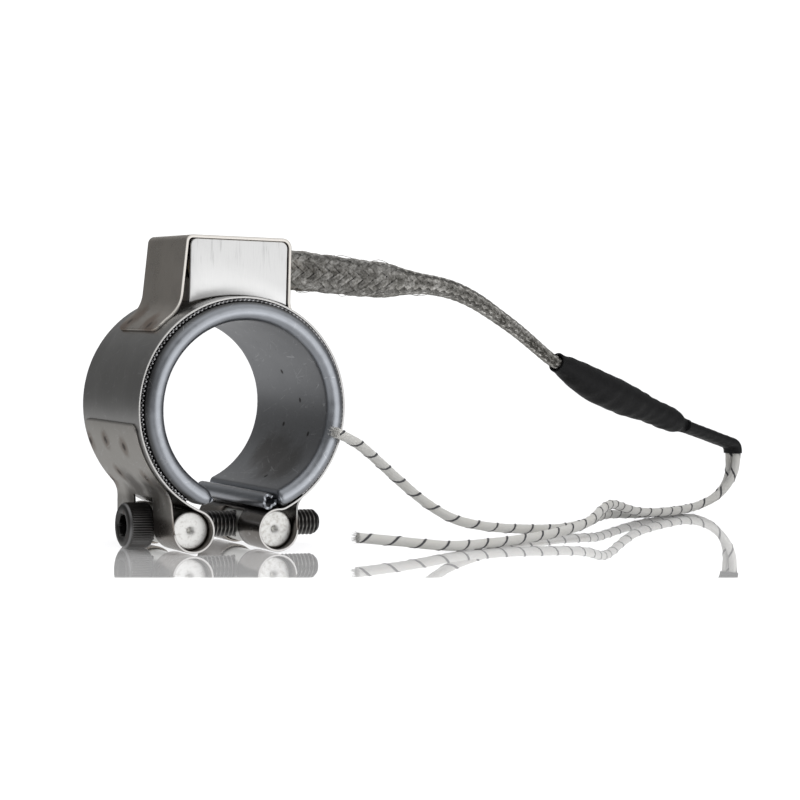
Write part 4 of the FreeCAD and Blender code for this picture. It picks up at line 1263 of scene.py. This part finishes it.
def build_lead(name, node, route, mat, tracer_mat, phase, seed):
    P = nurbs_points(route)
    Q, s, L = resample(P, 0.33)
    n = 24
    rs = np.random.default_rng(seed)
    # glass fibre sleeve, a little soft and uneven
    ph = rs.uniform(0, 6.28, 4)

    def rad(i, a):
        si = s[i]
        r = 0.925
        r += 0.010 * math.sin(6 * a + si * 3.1) + 0.010 * math.sin(6 * a - si * 3.1)
        r += 0.012 * math.sin(si * 0.7 + ph[0]) + 0.010 * math.sin(2 * a + si * 0.35 + ph[1])
        end = L - si
        if end < 1.2:
            r += 0.06 * (1.2 - end)
        return r

    vs, fs = tube_mesh(Q, rad, n, caps=True)
    T_, N_, B_ = frames(Q)
    nt0 = len(fs)
    # dark tracer yarn: it winds round the sleeve and dips under the weave
    pitch = 5.75
    step = 0.10
    npt = int((L - 0.4) / step)
    fsp = []
    pts, up = [], []
    for q in range(npt):
        si = 0.2 + q * step
        i = min(len(Q) - 2, int(si / s[1]))
        f = si / s[1] - i
        c = Q[i] * (1 - f) + Q[i + 1] * f
        nn = N_[i] * (1 - f) + N_[i + 1] * f
        bb = B_[i] * (1 - f) + B_[i + 1] * f
        tt = T_[i]
        a = phase - 2 * math.pi * si / pitch
        rdir = nn * math.cos(a) + bb * math.sin(a)
        rdir /= np.linalg.norm(rdir)
        dip = 0.5 + 0.5 * math.sin(2 * math.pi * q * step * 1.28)
        r = 0.905 + 0.075 * dip ** 0.6
        pts.append(c + rdir * r)
        ci = -nn * math.sin(a) + bb * math.cos(a)
        dirn = tt * 1.0 - ci * (2 * math.pi * 0.95 / pitch)
        dirn /= np.linalg.norm(dirn)
        up.append((rdir, np.cross(rdir, dirn)))
    w_, h_ = 0.23, 0.05
    o = len(vs)
    for q in range(npt):
        rdir, side = up[q]
        for k_, (u, v) in enumerate(((-1, 0), (-0.5, 1), (0.5, 1), (1, 0), (0, -1.2))):
            vs.append(tuple(pts[q] + side * u * w_ + rdir * v * h_))
    for q in range(npt - 1):
        for k_ in range(5):
            j = (k_ + 1) % 5
            fs.append((o + q * 5 + k_, o + q * 5 + j, o + (q + 1) * 5 + j, o + (q + 1) * 5 + k_))
    fs.append(tuple(o + k_ for k_ in range(5)))
    fs.append(tuple(o + (npt - 1) * 5 + k_ for k_ in range(4, -1, -1)))
    nt1 = len(fs)
    # frayed end: loose glass fibres
    E, Te, Ne, Be = Q[-1], T_[-1], N_[-1], B_[-1]
    for q in range(34):
        a = rs.uniform(0, 2 * math.pi)
        r0 = rs.uniform(0.3, 0.93)
        ln = rs.uniform(0.5, 1.5)
        spread = rs.uniform(0.1, 0.95)
        rd = Ne * math.cos(a) + Be * math.sin(a)
        sd = np.cross(Te, rd) * rs.normal(0, 0.25)
        p0 = E - Te * 0.5 + rd * r0
        pts_ = []
        for t in np.linspace(0, 1, 6):
            pts_.append(p0 + Te * (t * (ln * (1 - 0.35 * spread) + 0.5)) + rd * (spread * ln * 0.6 * t * t) + sd * t * t)
        tv, tf = tube_mesh(np.array(pts_), lambda i, aa, k=rs.uniform(0.03, 0.075): k * (1 - 0.13 * i), 5, up=rd)
        o = len(vs)
        vs += tv
        fs += [tuple(o + v for v in f) for f in tf]
    fm = [0] * nt0 + [1] * (nt1 - nt0) + [0] * (len(fs) - nt1)
    ob = mesh_object(name, vs, fs, mat, replaces=[node], mats=[mat, tracer_mat], face_mat=fm)
    add_uv_run(ob, n, len(Q), s)
    fix_normals(ob)
    return ob, Q, L

# ------------------------------------------------------- finishes
def stain_and_painted_light(g, mask, col, amount=1.0, rough=None):
    """Lays a tint over the base colour where mask is high: real stains and wear, and also painted shade and painted
    highlights.
    """
    c = g.b.inputs["Base Color"]
    src = c.links[0].from_socket
    g.t.links.remove(c.links[0])
    out = g.mix(g.m("MULTIPLY", mask, amount, clamp=True), src, col)
    g.t.links.new(out, c)
    if rough is not None:
        r = g.b.inputs["Roughness"]
        rs_ = r.links[0].from_socket
        g.t.links.remove(r.links[0])
        g.t.links.new(g.m("ADD", rs_, g.m("MULTIPLY", mask, rough), clamp=True), r)


def scratches(g, n=3, scale=0.35, width=0.012, seed=0.0):
    """Thin straight scratches, as a mask."""
    best = None
    for k in range(n):
        a = 0.7 + 1.1 * k + seed
        v = g.t.nodes.new("ShaderNodeVectorRotate")
        v.rotation_type = "AXIS_ANGLE"
        g.t.links.new(g.p, v.inputs["Vector"])
        v.inputs["Axis"].default_value = (0.4, 1.0, 0.3 * k - 0.2)
        v.inputs["Angle"].default_value = a
        st = g.scaled(1.0, 0.06, 1.0, v.outputs[0])
        d = g.voronoi(scale * (1 + 0.6 * k), st, "DISTANCE_TO_EDGE")
        f = g.smooth(d, width, width * 0.25)
        brk = g.smooth(g.noise(0.5, 2, 0.5), 0.50, 0.62)
        f = g.m("MULTIPLY", f, brk)
        best = f if best is None else g.m("MAXIMUM", best, f)
    return best


def mat_sheath():
    g = metal("sheath_steel_look", (0.40, 0.42, 0.455), rough=0.36, grain="circ", grain_amt=0.10, bump=0.10, blotch=0.16)
    x, y, z, r, a = g.pol
    bore = g.smooth(r, 16.25, 16.1)
    # inside the bore: darker overall and duller, with a dark stain and specks
    stain_and_painted_light(g, bore, (0.27, 0.27, 0.275), 0.7, rough=0.10)
    spot = g.spots([(13.4, 5.5, -8.7, 0.9), (12.6, -1.5, -9.9, 0.7), (11.9, -7.5, -10.7, 0.75), (13.3, 1.5, -8.9, 0.8), (11.2, -2.0, -11.4, 1.0)], 1.2, 5.2, 3.2)
    stain_and_painted_light(g, g.m("MULTIPLY", spot, bore), (0.14, 0.13, 0.12), 0.6, rough=0.1)
    speck = g.spots([(9.3, -4.2, -13.0), (15.95, -4.3, 1.3), (15.2, -9.5, -4.8), (14.6, 1.2, 6.5), (6.1, -6.0, -14.8), (-2.0, 3.0, -15.9), (15.6, 2.0, -3.5)], 0.25, 0.62, 0.3)
    stain_and_painted_light(g, g.m("MULTIPLY", speck, bore), (0.03, 0.027, 0.025), 0.9)
    fine_sp = g.smooth(g.voronoi(0.62), 0.10, 0.05)
    stain_and_painted_light(g, g.m("MULTIPLY", fine_sp, bore), (0.10, 0.09, 0.085), 0.6)
    # painted shade: the bead's outer flank, in the crease where it meets the band, is painted near black
    crease_shade = g.m("MULTIPLY", g.smooth(r, 18.6, 19.3), 1.0)
    stain_and_painted_light(g, crease_shade, (0.05, 0.048, 0.045), 0.8)
    sc = scratches(g, 2, 0.28, 0.010)
    stain_and_painted_light(g, sc, (0.85, 0.86, 0.88), 0.35)
    return g.mat


def mat_strap():
    g = metal("strap_steel_look", (0.37, 0.368, 0.362), rough=0.33, grain="circ", grain_amt=0.13, bump=0.14, blotch=0.14)
    x, y, z, r, a = g.pol
    # the doubled ends: brownish from welding, with oval weld marks
    patch = g.m("MULTIPLY", g.smooth(r, 20.46, 20.56), g.smooth(x, 2.0, -2.0))
    stain_and_painted_light(g, patch, (0.40, 0.38, 0.35), 0.72, rough=0.05)
    welds = [(-19.5, 12.2, -7.3), (-19.4, -5.1, -7.4), (-19.6, 3.6, -6.6), (-16.4, 4.6, -12.7), (-15.0, 12.4, -14.6), (-16.3, -8.6, -12.9)]
    halo = g.spots([(p[0], p[1], p[2], 1.0) for p in welds], 0.9, 2.6, 0.8)
    stain_and_painted_light(g, g.m("MULTIPLY", halo, patch), (0.13, 0.085, 0.055), 0.62)
    core = g.spots([(p[0], p[1], p[2], 1.0) for p in welds], 0.35, 1.05, 0.5)
    stain_and_painted_light(g, g.m("MULTIPLY", core, patch), (0.05, 0.04, 0.035), 0.85, rough=0.12)
    low = g.spots([(-14.2, 0.9, -15.2, 0.55), (-13.7, -6.5, -16.0, 0.6), (-15.1, -12.4, -14.6, 0.7), (-12.8, 5.0, -17.5, 0.7)], 0.6, 3.2, 2.4)
    stain_and_painted_light(g, g.m("MULTIPLY", low, patch), (0.045, 0.036, 0.03), 0.7, rough=0.15)
    # loops: darkened and glossy
    lo_l = g.m("SUBTRACT", x, PIN_L_X)
    lo_z = g.m("SUBTRACT", z, PIN_Z)
    dl = g.m("SQRT", g.m("ADD", g.m("MULTIPLY", lo_l, lo_l), g.m("MULTIPLY", lo_z, lo_z)))
    lo_r = g.m("SUBTRACT", x, PIN_R_X)
    dr = g.m("SQRT", g.m("ADD", g.m("MULTIPLY", lo_r, lo_r), g.m("MULTIPLY", lo_z, lo_z)))
    loop = g.m("MAXIMUM", g.smooth(dl, 4.9, 4.1), g.smooth(dr, 4.9, 4.1))
    stain_and_painted_light(g, loop, (0.15, 0.125, 0.105), 0.72, rough=-0.09)
    # painted highlight: the cut edges are painted bright
    edge = g.smooth(g.m("ABSOLUTE", y), 14.32, 14.37)
    stain_and_painted_light(g, edge, (0.62, 0.61, 0.60), 0.75)
    sc = scratches(g, 3, 0.22, 0.012, 0.4)
    stain_and_painted_light(g, sc, (0.62, 0.62, 0.63), 0.42)
    return g.mat


def mat_band():
    g = metal("band_steel_look", (0.42, 0.42, 0.43), rough=0.30, grain="circ", grain_amt=0.16, bump=0.2, blotch=0.14)
    x, y, z, r, a = g.pol
    # painted shade: darker stripes round the band, counted from the teeth, stand in for the shade between the crimped
    # teeth
    t = g.m("MULTIPLY", a, 19.9 / 0.86)
    crimp_shade = g.m("MULTIPLY", g.m("ADD", g.m("SINE", t), 1.0), 0.5)
    stain_and_painted_light(g, crimp_shade, (0.07, 0.07, 0.07), 0.5)
    return g.mat


def mat_cover():
    g = metal("cover_steel_look", (0.62, 0.575, 0.52), rough=0.30, grain="z", grain_amt=0.10, bump=0.10, blotch=0.13)
    x, y, z, r, a = g.pol
    foot = g.m("MULTIPLY", g.smooth(r, 21.6, 21.2), g.smooth(x, 4.0, -4.0))
    stain_and_painted_light(g, foot, (0.50, 0.47, 0.43), 0.5)
    tint = g.spots([(-13.3, 5.5, 16.2, 0.7), (-15.3, 7.0, 14.2, 0.8), (-14.2, -3.4, 15.3, 0.85), (-15.5, -6.0, 13.9, 0.8), (13.2, 5.5, 16.2, 0.8), (14.5, -4.0, 15.2, 0.8)], 0.7, 2.9, 1.6)
    stain_and_painted_light(g, tint, (0.20, 0.105, 0.055), 0.62)
    core = g.spots([(-14.3, 6.4, 15.2), (-14.9, -4.8, 14.6), (13.9, 5.0, 15.4), (14.2, -5.0, 15.2)], 0.4, 1.1, 0.5)
    stain_and_painted_light(g, core, (0.06, 0.045, 0.04), 0.8, rough=0.1)
    # painted highlight: the cut edges of the cover are painted bright
    edge = g.smooth(g.m("ABSOLUTE", y), 9.30, 9.36)
    stain_and_painted_light(g, edge, (0.72, 0.70, 0.67), 0.6)
    sc = scratches(g, 3, 0.25, 0.010, 1.3)
    stain_and_painted_light(g, sc, (0.70, 0.70, 0.70), 0.35)
    return g.mat


def mat_plate():
    g = metal("plate_steel_look", (0.80, 0.80, 0.795), rough=0.34, grain="z", grain_amt=0.05, bump=0.10, blotch=0.05)
    x, y, z, r, a = g.pol
    st = g.noise(1.0, 4, 0.62, g.comb(g.m("MULTIPLY", x, 2.6), g.m("MULTIPLY", y, 2.0), g.m("MULTIPLY", z, 0.16)))
    zone = g.m("MULTIPLY", g.smooth(z, 24.6, 27.5), 1.0)
    streak = g.m("MULTIPLY", g.smooth(st, 0.52, 0.72), zone)
    stain_and_painted_light(g, streak, (0.42, 0.42, 0.42), 0.5, rough=0.05)
    s2 = g.smooth(g.noise(1.0, 3, 0.6, g.comb(g.m("MULTIPLY", x, 6.0), g.m("MULTIPLY", y, 5.0), g.m("MULTIPLY", z, 0.4))), 0.60, 0.74)
    stain_and_painted_light(g, s2, (0.55, 0.55, 0.55), 0.28)
    return g.mat


def mat_barrel():
    g = metal("barrel_steel_look", (0.66, 0.65, 0.62), rough=0.34, grain="circ", grain_amt=0.08, bump=0.12, blotch=0.16)
    x, y, z, r, a = g.pol
    face = g.smooth(g.m("ABSOLUTE", y), 12.1, 12.3)
    mott = g.noise(1.3, 4, 0.65)
    stain_and_painted_light(g, face, (0.80, 0.80, 0.79), 0.72, rough=0.12)
    stain_and_painted_light(g, g.m("MULTIPLY", face, g.smooth(mott, 0.50, 0.70)), (0.42, 0.40, 0.37), 0.55)
    rightpin = g.m("MULTIPLY", face, g.smooth(x, -1.0, 1.0))
    stain_and_painted_light(g, g.m("MULTIPLY", rightpin, g.smooth(mott, 0.40, 0.62)), (0.50, 0.48, 0.45), 0.45)
    # turning marks on the end faces, about each pin's own axis
    dxl = g.m("SUBTRACT", g.m("ABSOLUTE", g.m("SUBTRACT", x, (PIN_L_X + PIN_R_X) / 2)), (PIN_R_X - PIN_L_X) / 2)
    dz = g.m("SUBTRACT", z, PIN_Z)
    rr = g.m("SQRT", g.m("ADD", g.m("MULTIPLY", dxl, dxl), g.m("MULTIPLY", dz, dz)))
    tn = g.noise(1.0, 3, 0.6, g.comb(g.m("MULTIPLY", rr, 9.0), 0.0, 0.0))
    stain_and_painted_light(g, g.m("MULTIPLY", face, g.smooth(tn, 0.5, 0.7)), (0.55, 0.53, 0.50), 0.3)
    rim = g.m("MULTIPLY", face, g.smooth(rr, 3.05, 3.3))
    stain_and_painted_light(g, rim, (0.25, 0.24, 0.23), 0.55)
    return g.mat


def mat_screw():
    g = metal("screw_steel_look", (0.085, 0.083, 0.082), rough=0.34, grain="", grain_amt=0.14, bump=0.2, blotch=0.25)
    x, y, z, r, a = g.pol
    dz = g.m("SUBTRACT", z, PIN_Z)
    rr = g.m("SQRT", g.m("ADD", g.m("MULTIPLY", y, y), g.m("MULTIPLY", dz, dz)))
    head = g.smooth(x, -12.5, -12.7)
    # painted highlight: a light ring painted on the chamfered rim of the head's face
    stain_and_painted_light(g, g.m("MULTIPLY", head, g.m("MULTIPLY", g.smooth(rr, 3.7, 4.0), g.smooth(x, -16.9, -17.3))), (0.42, 0.42, 0.43), 0.55)
    crest = g.m("MULTIPLY", g.smooth(rr, 2.33, 2.43), g.smooth(x, -12.0, -11.0))
    stain_and_painted_light(g, crest, (0.46, 0.45, 0.43), 0.6)
    rust = g.smooth(g.noise(0.55, 4, 0.65), 0.60, 0.72)
    stain_and_painted_light(g, rust, (0.16, 0.085, 0.05), 0.35, rough=0.2)
    return g.mat


def mat_braid():
    g = G("braid_wire_look")
    n1 = g.noise(2.2, 3, 0.6)
    n2 = g.noise(0.35, 3, 0.6)
    n3 = g.noise(9.0, 2, 0.5)
    v = g.m("ADD", g.m("MULTIPLY", n1, 0.55), g.m("MULTIPLY", n2, 0.45))
    col = g.ramp(v, [(0.30, (0.10, 0.098, 0.09)), (0.48, (0.27, 0.262, 0.245)), (0.64, (0.60, 0.59, 0.57))])
    ro = g.rng(n3, 0.3, 0.7, 0.26, 0.42)
    g.set(color=col, metal=1.0, rough=ro, normal=g.bump(n3, 0.25, 0.02))
    return g.mat


def mat_core_shade():
    # near-black colour for the inside of the braid: painted shade
    g = G("braid_core_shade_look")
    n = g.noise(3.0, 3, 0.6)
    g.set(color=g.ramp(n, [(0.3, (0.012, 0.012, 0.012)), (0.7, (0.05, 0.048, 0.045))]), metal=0.3, rough=0.6, normal=g.bump(n, 0.3, 0.05))
    return g.mat


def mat_shrink():
    g = G("shrink_black_look")
    n = g.noise(0.9, 4, 0.6)
    f = g.noise(5.0, 3, 0.6)
    dust = g.smooth(g.noise(14.0, 2, 0.5), 0.66, 0.74)
    col = g.mix(n, (0.0035, 0.0036, 0.004), (0.009, 0.009, 0.0095))
    col = g.mix(g.m("MULTIPLY", dust, 0.16), col, (0.16, 0.16, 0.16))
    h = g.m("ADD", g.m("MULTIPLY", n, 0.8), g.m("MULTIPLY", f, 0.25))
    g.set(color=col, rough=g.rng(f, 0.3, 0.7, 0.42, 0.56), spec=0.12, normal=g.bump(h, 0.42, 0.28))
    return g.mat


def mat_sleeve():
    """Woven glass sleeving: two sets of fine yarns, seen through the run coordinates."""
    g = G("lead_sleeve_look")
    uv = g.t.nodes.new("ShaderNodeUVMap")
    uv.uv_map = "run"
    sp = g.t.nodes.new("ShaderNodeSeparateXYZ")
    g.t.links.new(uv.outputs[0], sp.inputs[0])
    u, v = sp.outputs[0], sp.outputs[1]
    nyarn, pit = 12.0, 5.75
    def saw(sign):
        ph = g.m("ADD", g.m("MULTIPLY", u, nyarn), g.m("MULTIPLY", v, sign * nyarn / pit))
        return ph
    p1, p2 = saw(1.0), saw(-1.0)
    def ridge(p):
        return g.m("ABSOLUTE", g.m("SINE", g.m("MULTIPLY", p, math.pi)))
    r1, r2 = ridge(p1), ridge(p2)
    # which set lies on top changes from crossing to crossing
    chk = g.m("SINE", g.m("MULTIPLY", g.m("ADD", p1, p2), math.pi / 1.0))
    chk2 = g.m("SINE", g.m("MULTIPLY", g.m("SUBTRACT", p1, p2), math.pi / 1.0))
    top = g.smooth(g.m("MULTIPLY", chk, chk2), -0.35, 0.35)
    h = g.m("ADD", g.m("MULTIPLY", r1, top), g.m("MULTIPLY", r2, g.m("SUBTRACT", 1.0, top)))
    fib = g.noise(7.0, 3, 0.6)
    blot = g.noise(0.22, 3, 0.6)
    # painted shade: the hollows of the weave are painted darker than the crests of the yarns
    base = g.mix(h, (0.17, 0.168, 0.158), (0.41, 0.405, 0.39))
    base = g.mix(g.m("MULTIPLY", g.smooth(blot, 0.42, 0.70), 0.30), base, (0.34, 0.325, 0.29))
    base = g.mix(g.m("MULTIPLY", g.smooth(fib, 0.5, 0.75), 0.22), base, (0.56, 0.56, 0.55))
    g.set(color=base, rough=0.52, spec=0.42, sheen=0.12, normal=g.bump(g.m("ADD", h, g.m("MULTIPLY", fib, 0.35)), 0.55, 0.09))
    return g.mat


def mat_tracer():
    g = G("tracer_yarn_look")
    n = g.noise(6.0, 3, 0.6)
    g.set(color=g.ramp(n, [(0.3, (0.012, 0.012, 0.014)), (0.75, (0.075, 0.075, 0.08))]), rough=0.5, normal=g.bump(n, 0.4, 0.05))
    return g.mat


def mat_plain(name, a, b, scale, rough, bump=0.3, metal_=0.0, dist=0.08):
    g = G(name)
    n = g.noise(scale, 4, 0.6)
    f = g.noise(scale * 7, 2, 0.6)
    g.set(color=g.mix(g.m("ADD", g.m("MULTIPLY", n, 0.7), g.m("MULTIPLY", f, 0.3)), a, b), rough=g.rng(f, 0.3, 0.7, max(0.05, rough - 0.08), rough + 0.08), metal=metal_, normal=g.bump(n, bump, dist))
    return g.mat


M_SHEATH, M_STRAP, M_BAND, M_COVER, M_PLATE = mat_sheath(), mat_strap(), mat_band(), mat_cover(), mat_plate()
M_BARREL, M_SCREW, M_BRAID, M_CORE_SHADE = mat_barrel(), mat_screw(), mat_braid(), mat_core_shade()
M_SHRINK, M_SLEEVE, M_TRACER = mat_shrink(), mat_sleeve(), mat_tracer()

# -------------------------------------------------------- cords come first
braid, BQ, BL = build_braid(M_BRAID, M_CORE_SHADE)
shrink_l = build_shrink_large(M_SHRINK)
shrink_s = build_shrink_small(M_SHRINK)
la, LAQ, LAL = build_lead("lead_sleeve_a", "lead_a", LEAD_A, M_SLEEVE, M_TRACER, 0.4, 21)
lb, LBQ, LBL = build_lead("lead_sleeve_b", "lead_b", LEAD_B, M_SLEEVE, M_TRACER, 2.9, 22)


def m_(Q):
    return [tuple(float(c) * MM for c in q) for q in Q]


# ------------------------------------------------------------ heating band
build_inner_sheath(M_SHEATH)
build_roll(M_SHEATH)
build_band(M_BAND)
build_strap(M_STRAP)
build_cover(M_COVER)
build_plate("front_plate", "box_front_plate", -1, M_PLATE)
build_plate("back_plate", "box_back_plate", 1, M_PLATE)
build_barrel("pin_plain", "plain_barrel", PIN_L_X, 2.75, M_BARREL, True)
build_barrel("pin_threaded", "threaded_barrel", PIN_R_X, 2.50, M_BARREL, False)
build_screw(M_SCREW)

# cover hole: cut where the braid leaves the box
cv = bpy.data.objects["cover"]
boolean(cv, tmp_cyl((8.5, 0, EXIT_Z), (1, 0, 0), 3.72, 4.0, 64))
sharp_by_angle(cv, 50)

# ferrule round the braid at the box wall
vs_, fs_ = lathe([(9.55, 3.32), (9.5, 3.45), (9.5, 4.1), (9.6, 4.2), (10.1, 4.2), (10.2, 4.1), (10.22, 3.72), (10.6, 3.7), (11.3, 3.7), (11.44, 3.66), (11.48, 3.58), (11.46, 3.42), (11.35, 3.32), (10.4, 3.3), (9.55, 3.32)],
                 (0, 0, EXIT_Z), (1, 0, 0), 72, up=(0, 0, 1))
fer = mesh_object("braid_ferrule_ring", vs_, fs_, M_PLATE, replaces=["braid_ferrule"])
fix_normals(fer)
sharp_by_angle(fer, 40)

# sealed and inner pieces keep their CAD shapes and get finishes of their own
INNER = {
    "mica_inner": mat_plain("mica_inner_look", (0.42, 0.36, 0.24), (0.66, 0.58, 0.42), 0.5, 0.35),
    "mica_outer": mat_plain("mica_outer_look", (0.40, 0.34, 0.23), (0.64, 0.56, 0.41), 0.5, 0.35),
    "heating_ribbon": mat_plain("ribbon_look", (0.30, 0.29, 0.28), (0.50, 0.48, 0.46), 1.2, 0.35, 0.2, 1.0),
    "insulation_pad": mat_plain("pad_look", (0.62, 0.60, 0.55), (0.82, 0.80, 0.76), 0.8, 0.85, 0.6),
    "terminal_block": mat_plain("steatite_look", (0.74, 0.70, 0.63), (0.86, 0.83, 0.77), 0.4, 0.45, 0.15),
    "terminal_a": mat_plain("terminal_a_look", (0.50, 0.44, 0.30), (0.72, 0.64, 0.46), 0.8, 0.3, 0.2, 1.0),
    "terminal_b": mat_plain("terminal_b_look", (0.50, 0.44, 0.30), (0.72, 0.64, 0.46), 0.8, 0.3, 0.2, 1.0),
    "lead_tail_a": mat_plain("tail_a_look", (0.44, 0.43, 0.41), (0.64, 0.63, 0.61), 3.0, 0.6, 0.5),
    "lead_tail_b": mat_plain("tail_b_look", (0.44, 0.43, 0.41), (0.64, 0.63, 0.61), 3.0, 0.6, 0.5),
}


def node_objects(name):
    n = frame["nodes"][name]
    return n if isinstance(n, (list, tuple)) else [n]


for nm, mt in INNER.items():
    for ob in node_objects(nm):
        o = ob if hasattr(ob, "data") else bpy.data.objects.get(nm)
        if o is None:
            continue
        if not o.material_slots:
            o.data.materials.append(mt)
        for sl in o.material_slots:
            sl.material = mt

# ---------------------------------------------------------------- the floor
# a pale glossy board, matt near its front edge
CAMV = Vector((0.4698728, 0.8821588, 0)).normalized()
SIDE = Vector((CAMV.y, -CAMV.x, 0))
CXY = Vector((-0.162473, -0.379413, 0))
ctr = CXY + CAMV * 0.45
fl = bpy.data.meshes.new("floor")
vv = []
for a_, b_ in ((-3.0, -3.0), (3.0, -3.0), (3.0, 3.0), (-3.0, 3.0)):
    q = ctr + SIDE * a_ + CAMV * b_
    vv.append((q.x, q.y, FLOOR_Z * MM))
fl.from_pydata(vv, [], [(0, 1, 2, 3)])
floor = bpy.data.objects.new("floor", fl)
SC.collection.objects.link(floor)
gf = G("floor_look")
x, y, z = gf.sep()
EDGE = R_.cross(F_ - U_ * (180.0 / 2200.0)).normalized()
EDGE_O = Vector((-162.473, -379.413, 15.033))
if EDGE.dot(Vector((0.0, 0.0, FLOOR_Z)) - EDGE_O) < 0:
    EDGE = -EDGE
dist = gf.m("ADD", gf.m("ADD", gf.m("MULTIPLY", x, EDGE.x), gf.m("MULTIPLY", y, EDGE.y)), EDGE.z * FLOOR_Z - EDGE.dot(EDGE_O))
gloss = gf.smooth(dist, 0.0, 0.6)
tone = gf.noise(0.01, 2, 0.5)
gf.set(color=gf.mix(tone, (0.90, 0.90, 0.90), (0.92, 0.92, 0.92)), rough=gf.rng(gf.noise(0.05, 2, 0.5), 0.3, 0.7, 0.012, 0.022))
gf.b.inputs["Specular IOR Level"].default_value = 0.5
gd = gf.t.nodes.new("ShaderNodeBsdfDiffuse")
gd.inputs["Color"].default_value = (0.92, 0.92, 0.92, 1)
mx = gf.t.nodes.new("ShaderNodeMixShader")
lw = gf.t.nodes.new("ShaderNodeLayerWeight")
lw.inputs[0].default_value = 0.5
gf.t.links.new(gf.m("MULTIPLY", gloss, gf.m("POWER", lw.outputs["Facing"], 2.2)), mx.inputs[0])
gg = gf.t.nodes.new("ShaderNodeBsdfGlossy")
gg.inputs["Color"].default_value = (0.97, 0.97, 0.98, 1)
gg.inputs["Roughness"].default_value = 0.015
gf.t.links.new(gd.outputs[0], mx.inputs[1])
gf.t.links.new(gg.outputs[0], mx.inputs[2])
for l in list(gf.out.inputs[0].links):
    gf.t.links.remove(l)
gf.t.links.new(mx.outputs[0], gf.out.inputs[0])
fl.materials.append(gf.mat)
floor.visible_glossy = False

# ---------------------------------------------------------- world and lights
w = bpy.data.worlds.new("studio")
SC.world = w
w.use_nodes = True
wt = w.node_tree
wt.nodes.clear()


class W(G):
    def __init__(s, tree):
        s.t = tree


wg = W(wt)
wo = wt.nodes.new("ShaderNodeOutputWorld")
tc = wt.nodes.new("ShaderNodeTexCoord")
nrm = wt.nodes.new("ShaderNodeVectorMath")
nrm.operation = "NORMALIZE"
wt.links.new(tc.outputs["Generated"], nrm.inputs[0])
D = nrm.outputs[0]
lp = wt.nodes.new("ShaderNodeLightPath")


def lobe(d, a, b):
    n = wt.nodes.new("ShaderNodeVectorMath")
    n.operation = "DOT_PRODUCT"
    wt.links.new(D, n.inputs[0])
    v = Vector(d).normalized()
    n.inputs[1].default_value = v
    return wg.smooth(n.outputs["Value"], a, b)


sx, sy, sz = wg.sep(D)
gl = wg.m("ADD", 0.16, wg.m("MULTIPLY", lobe((0.47, -0.88, 0.02), 0.70, 0.97), 1.05))
gl = wg.m("ADD", gl, wg.m("MULTIPLY", lobe((0.47, 0.88, 0.03), 0.93, 0.975), 0.95))
gl = wg.m("ADD", gl, wg.m("MULTIPLY", wg.smooth(sz, 0.30, 0.85), 0.55))
gl = wg.m("ADD", gl, wg.m("MULTIPLY", wg.smooth(sz, -0.02, -0.2), 0.45))
bgs = []
for st in (1.15, gl, 0.85):
    b = wt.nodes.new("ShaderNodeBackground")
    b.inputs[0].default_value = (1, 1, 1, 1)
    wg.put(b.inputs[1], st)
    bgs.append(b)
m1 = wt.nodes.new("ShaderNodeMixShader")
wt.links.new(lp.outputs["Is Glossy Ray"], m1.inputs[0])
wt.links.new(bgs[2].outputs[0], m1.inputs[1])
wt.links.new(bgs[1].outputs[0], m1.inputs[2])
m2 = wt.nodes.new("ShaderNodeMixShader")
wt.links.new(lp.outputs["Is Camera Ray"], m2.inputs[0])
wt.links.new(m1.outputs[0], m2.inputs[1])
wt.links.new(bgs[0].outputs[0], m2.inputs[2])
wt.links.new(m2.outputs[0], wo.inputs[0])


def area(name, loc, target, size, power, size_y=None):
    ld = bpy.data.lights.new(name, "AREA")
    ld.shape = "RECTANGLE"
    ld.size = size
    ld.size_y = size_y or size
    ld.energy = power
    ob = bpy.data.objects.new(name, ld)
    SC.collection.objects.link(ob)
    loc, target = Vector(loc), Vector(target)
    ob.location = loc
    ob.rotation_euler = (target - loc).to_track_quat("-Z", "Y").to_euler()
    ob.visible_glossy = False
    return ob


area("key_top", (0.05, -0.15, 0.62), (0.03, 0.0, 0.0), 0.55, 3.4)
area("fill_front", (0.42, -0.50, 0.22), (0.02, 0.0, 0.0), 0.35, 1.3)
area("rim_back", (-0.25, 0.55, 0.35), (0.05, 0.0, 0.0), 0.40, 1.0)

SC.view_settings.view_transform = "Standard"
SC.view_settings.look = "None"
SC.view_settings.exposure = 0.0
SC.view_settings.gamma = 1.0
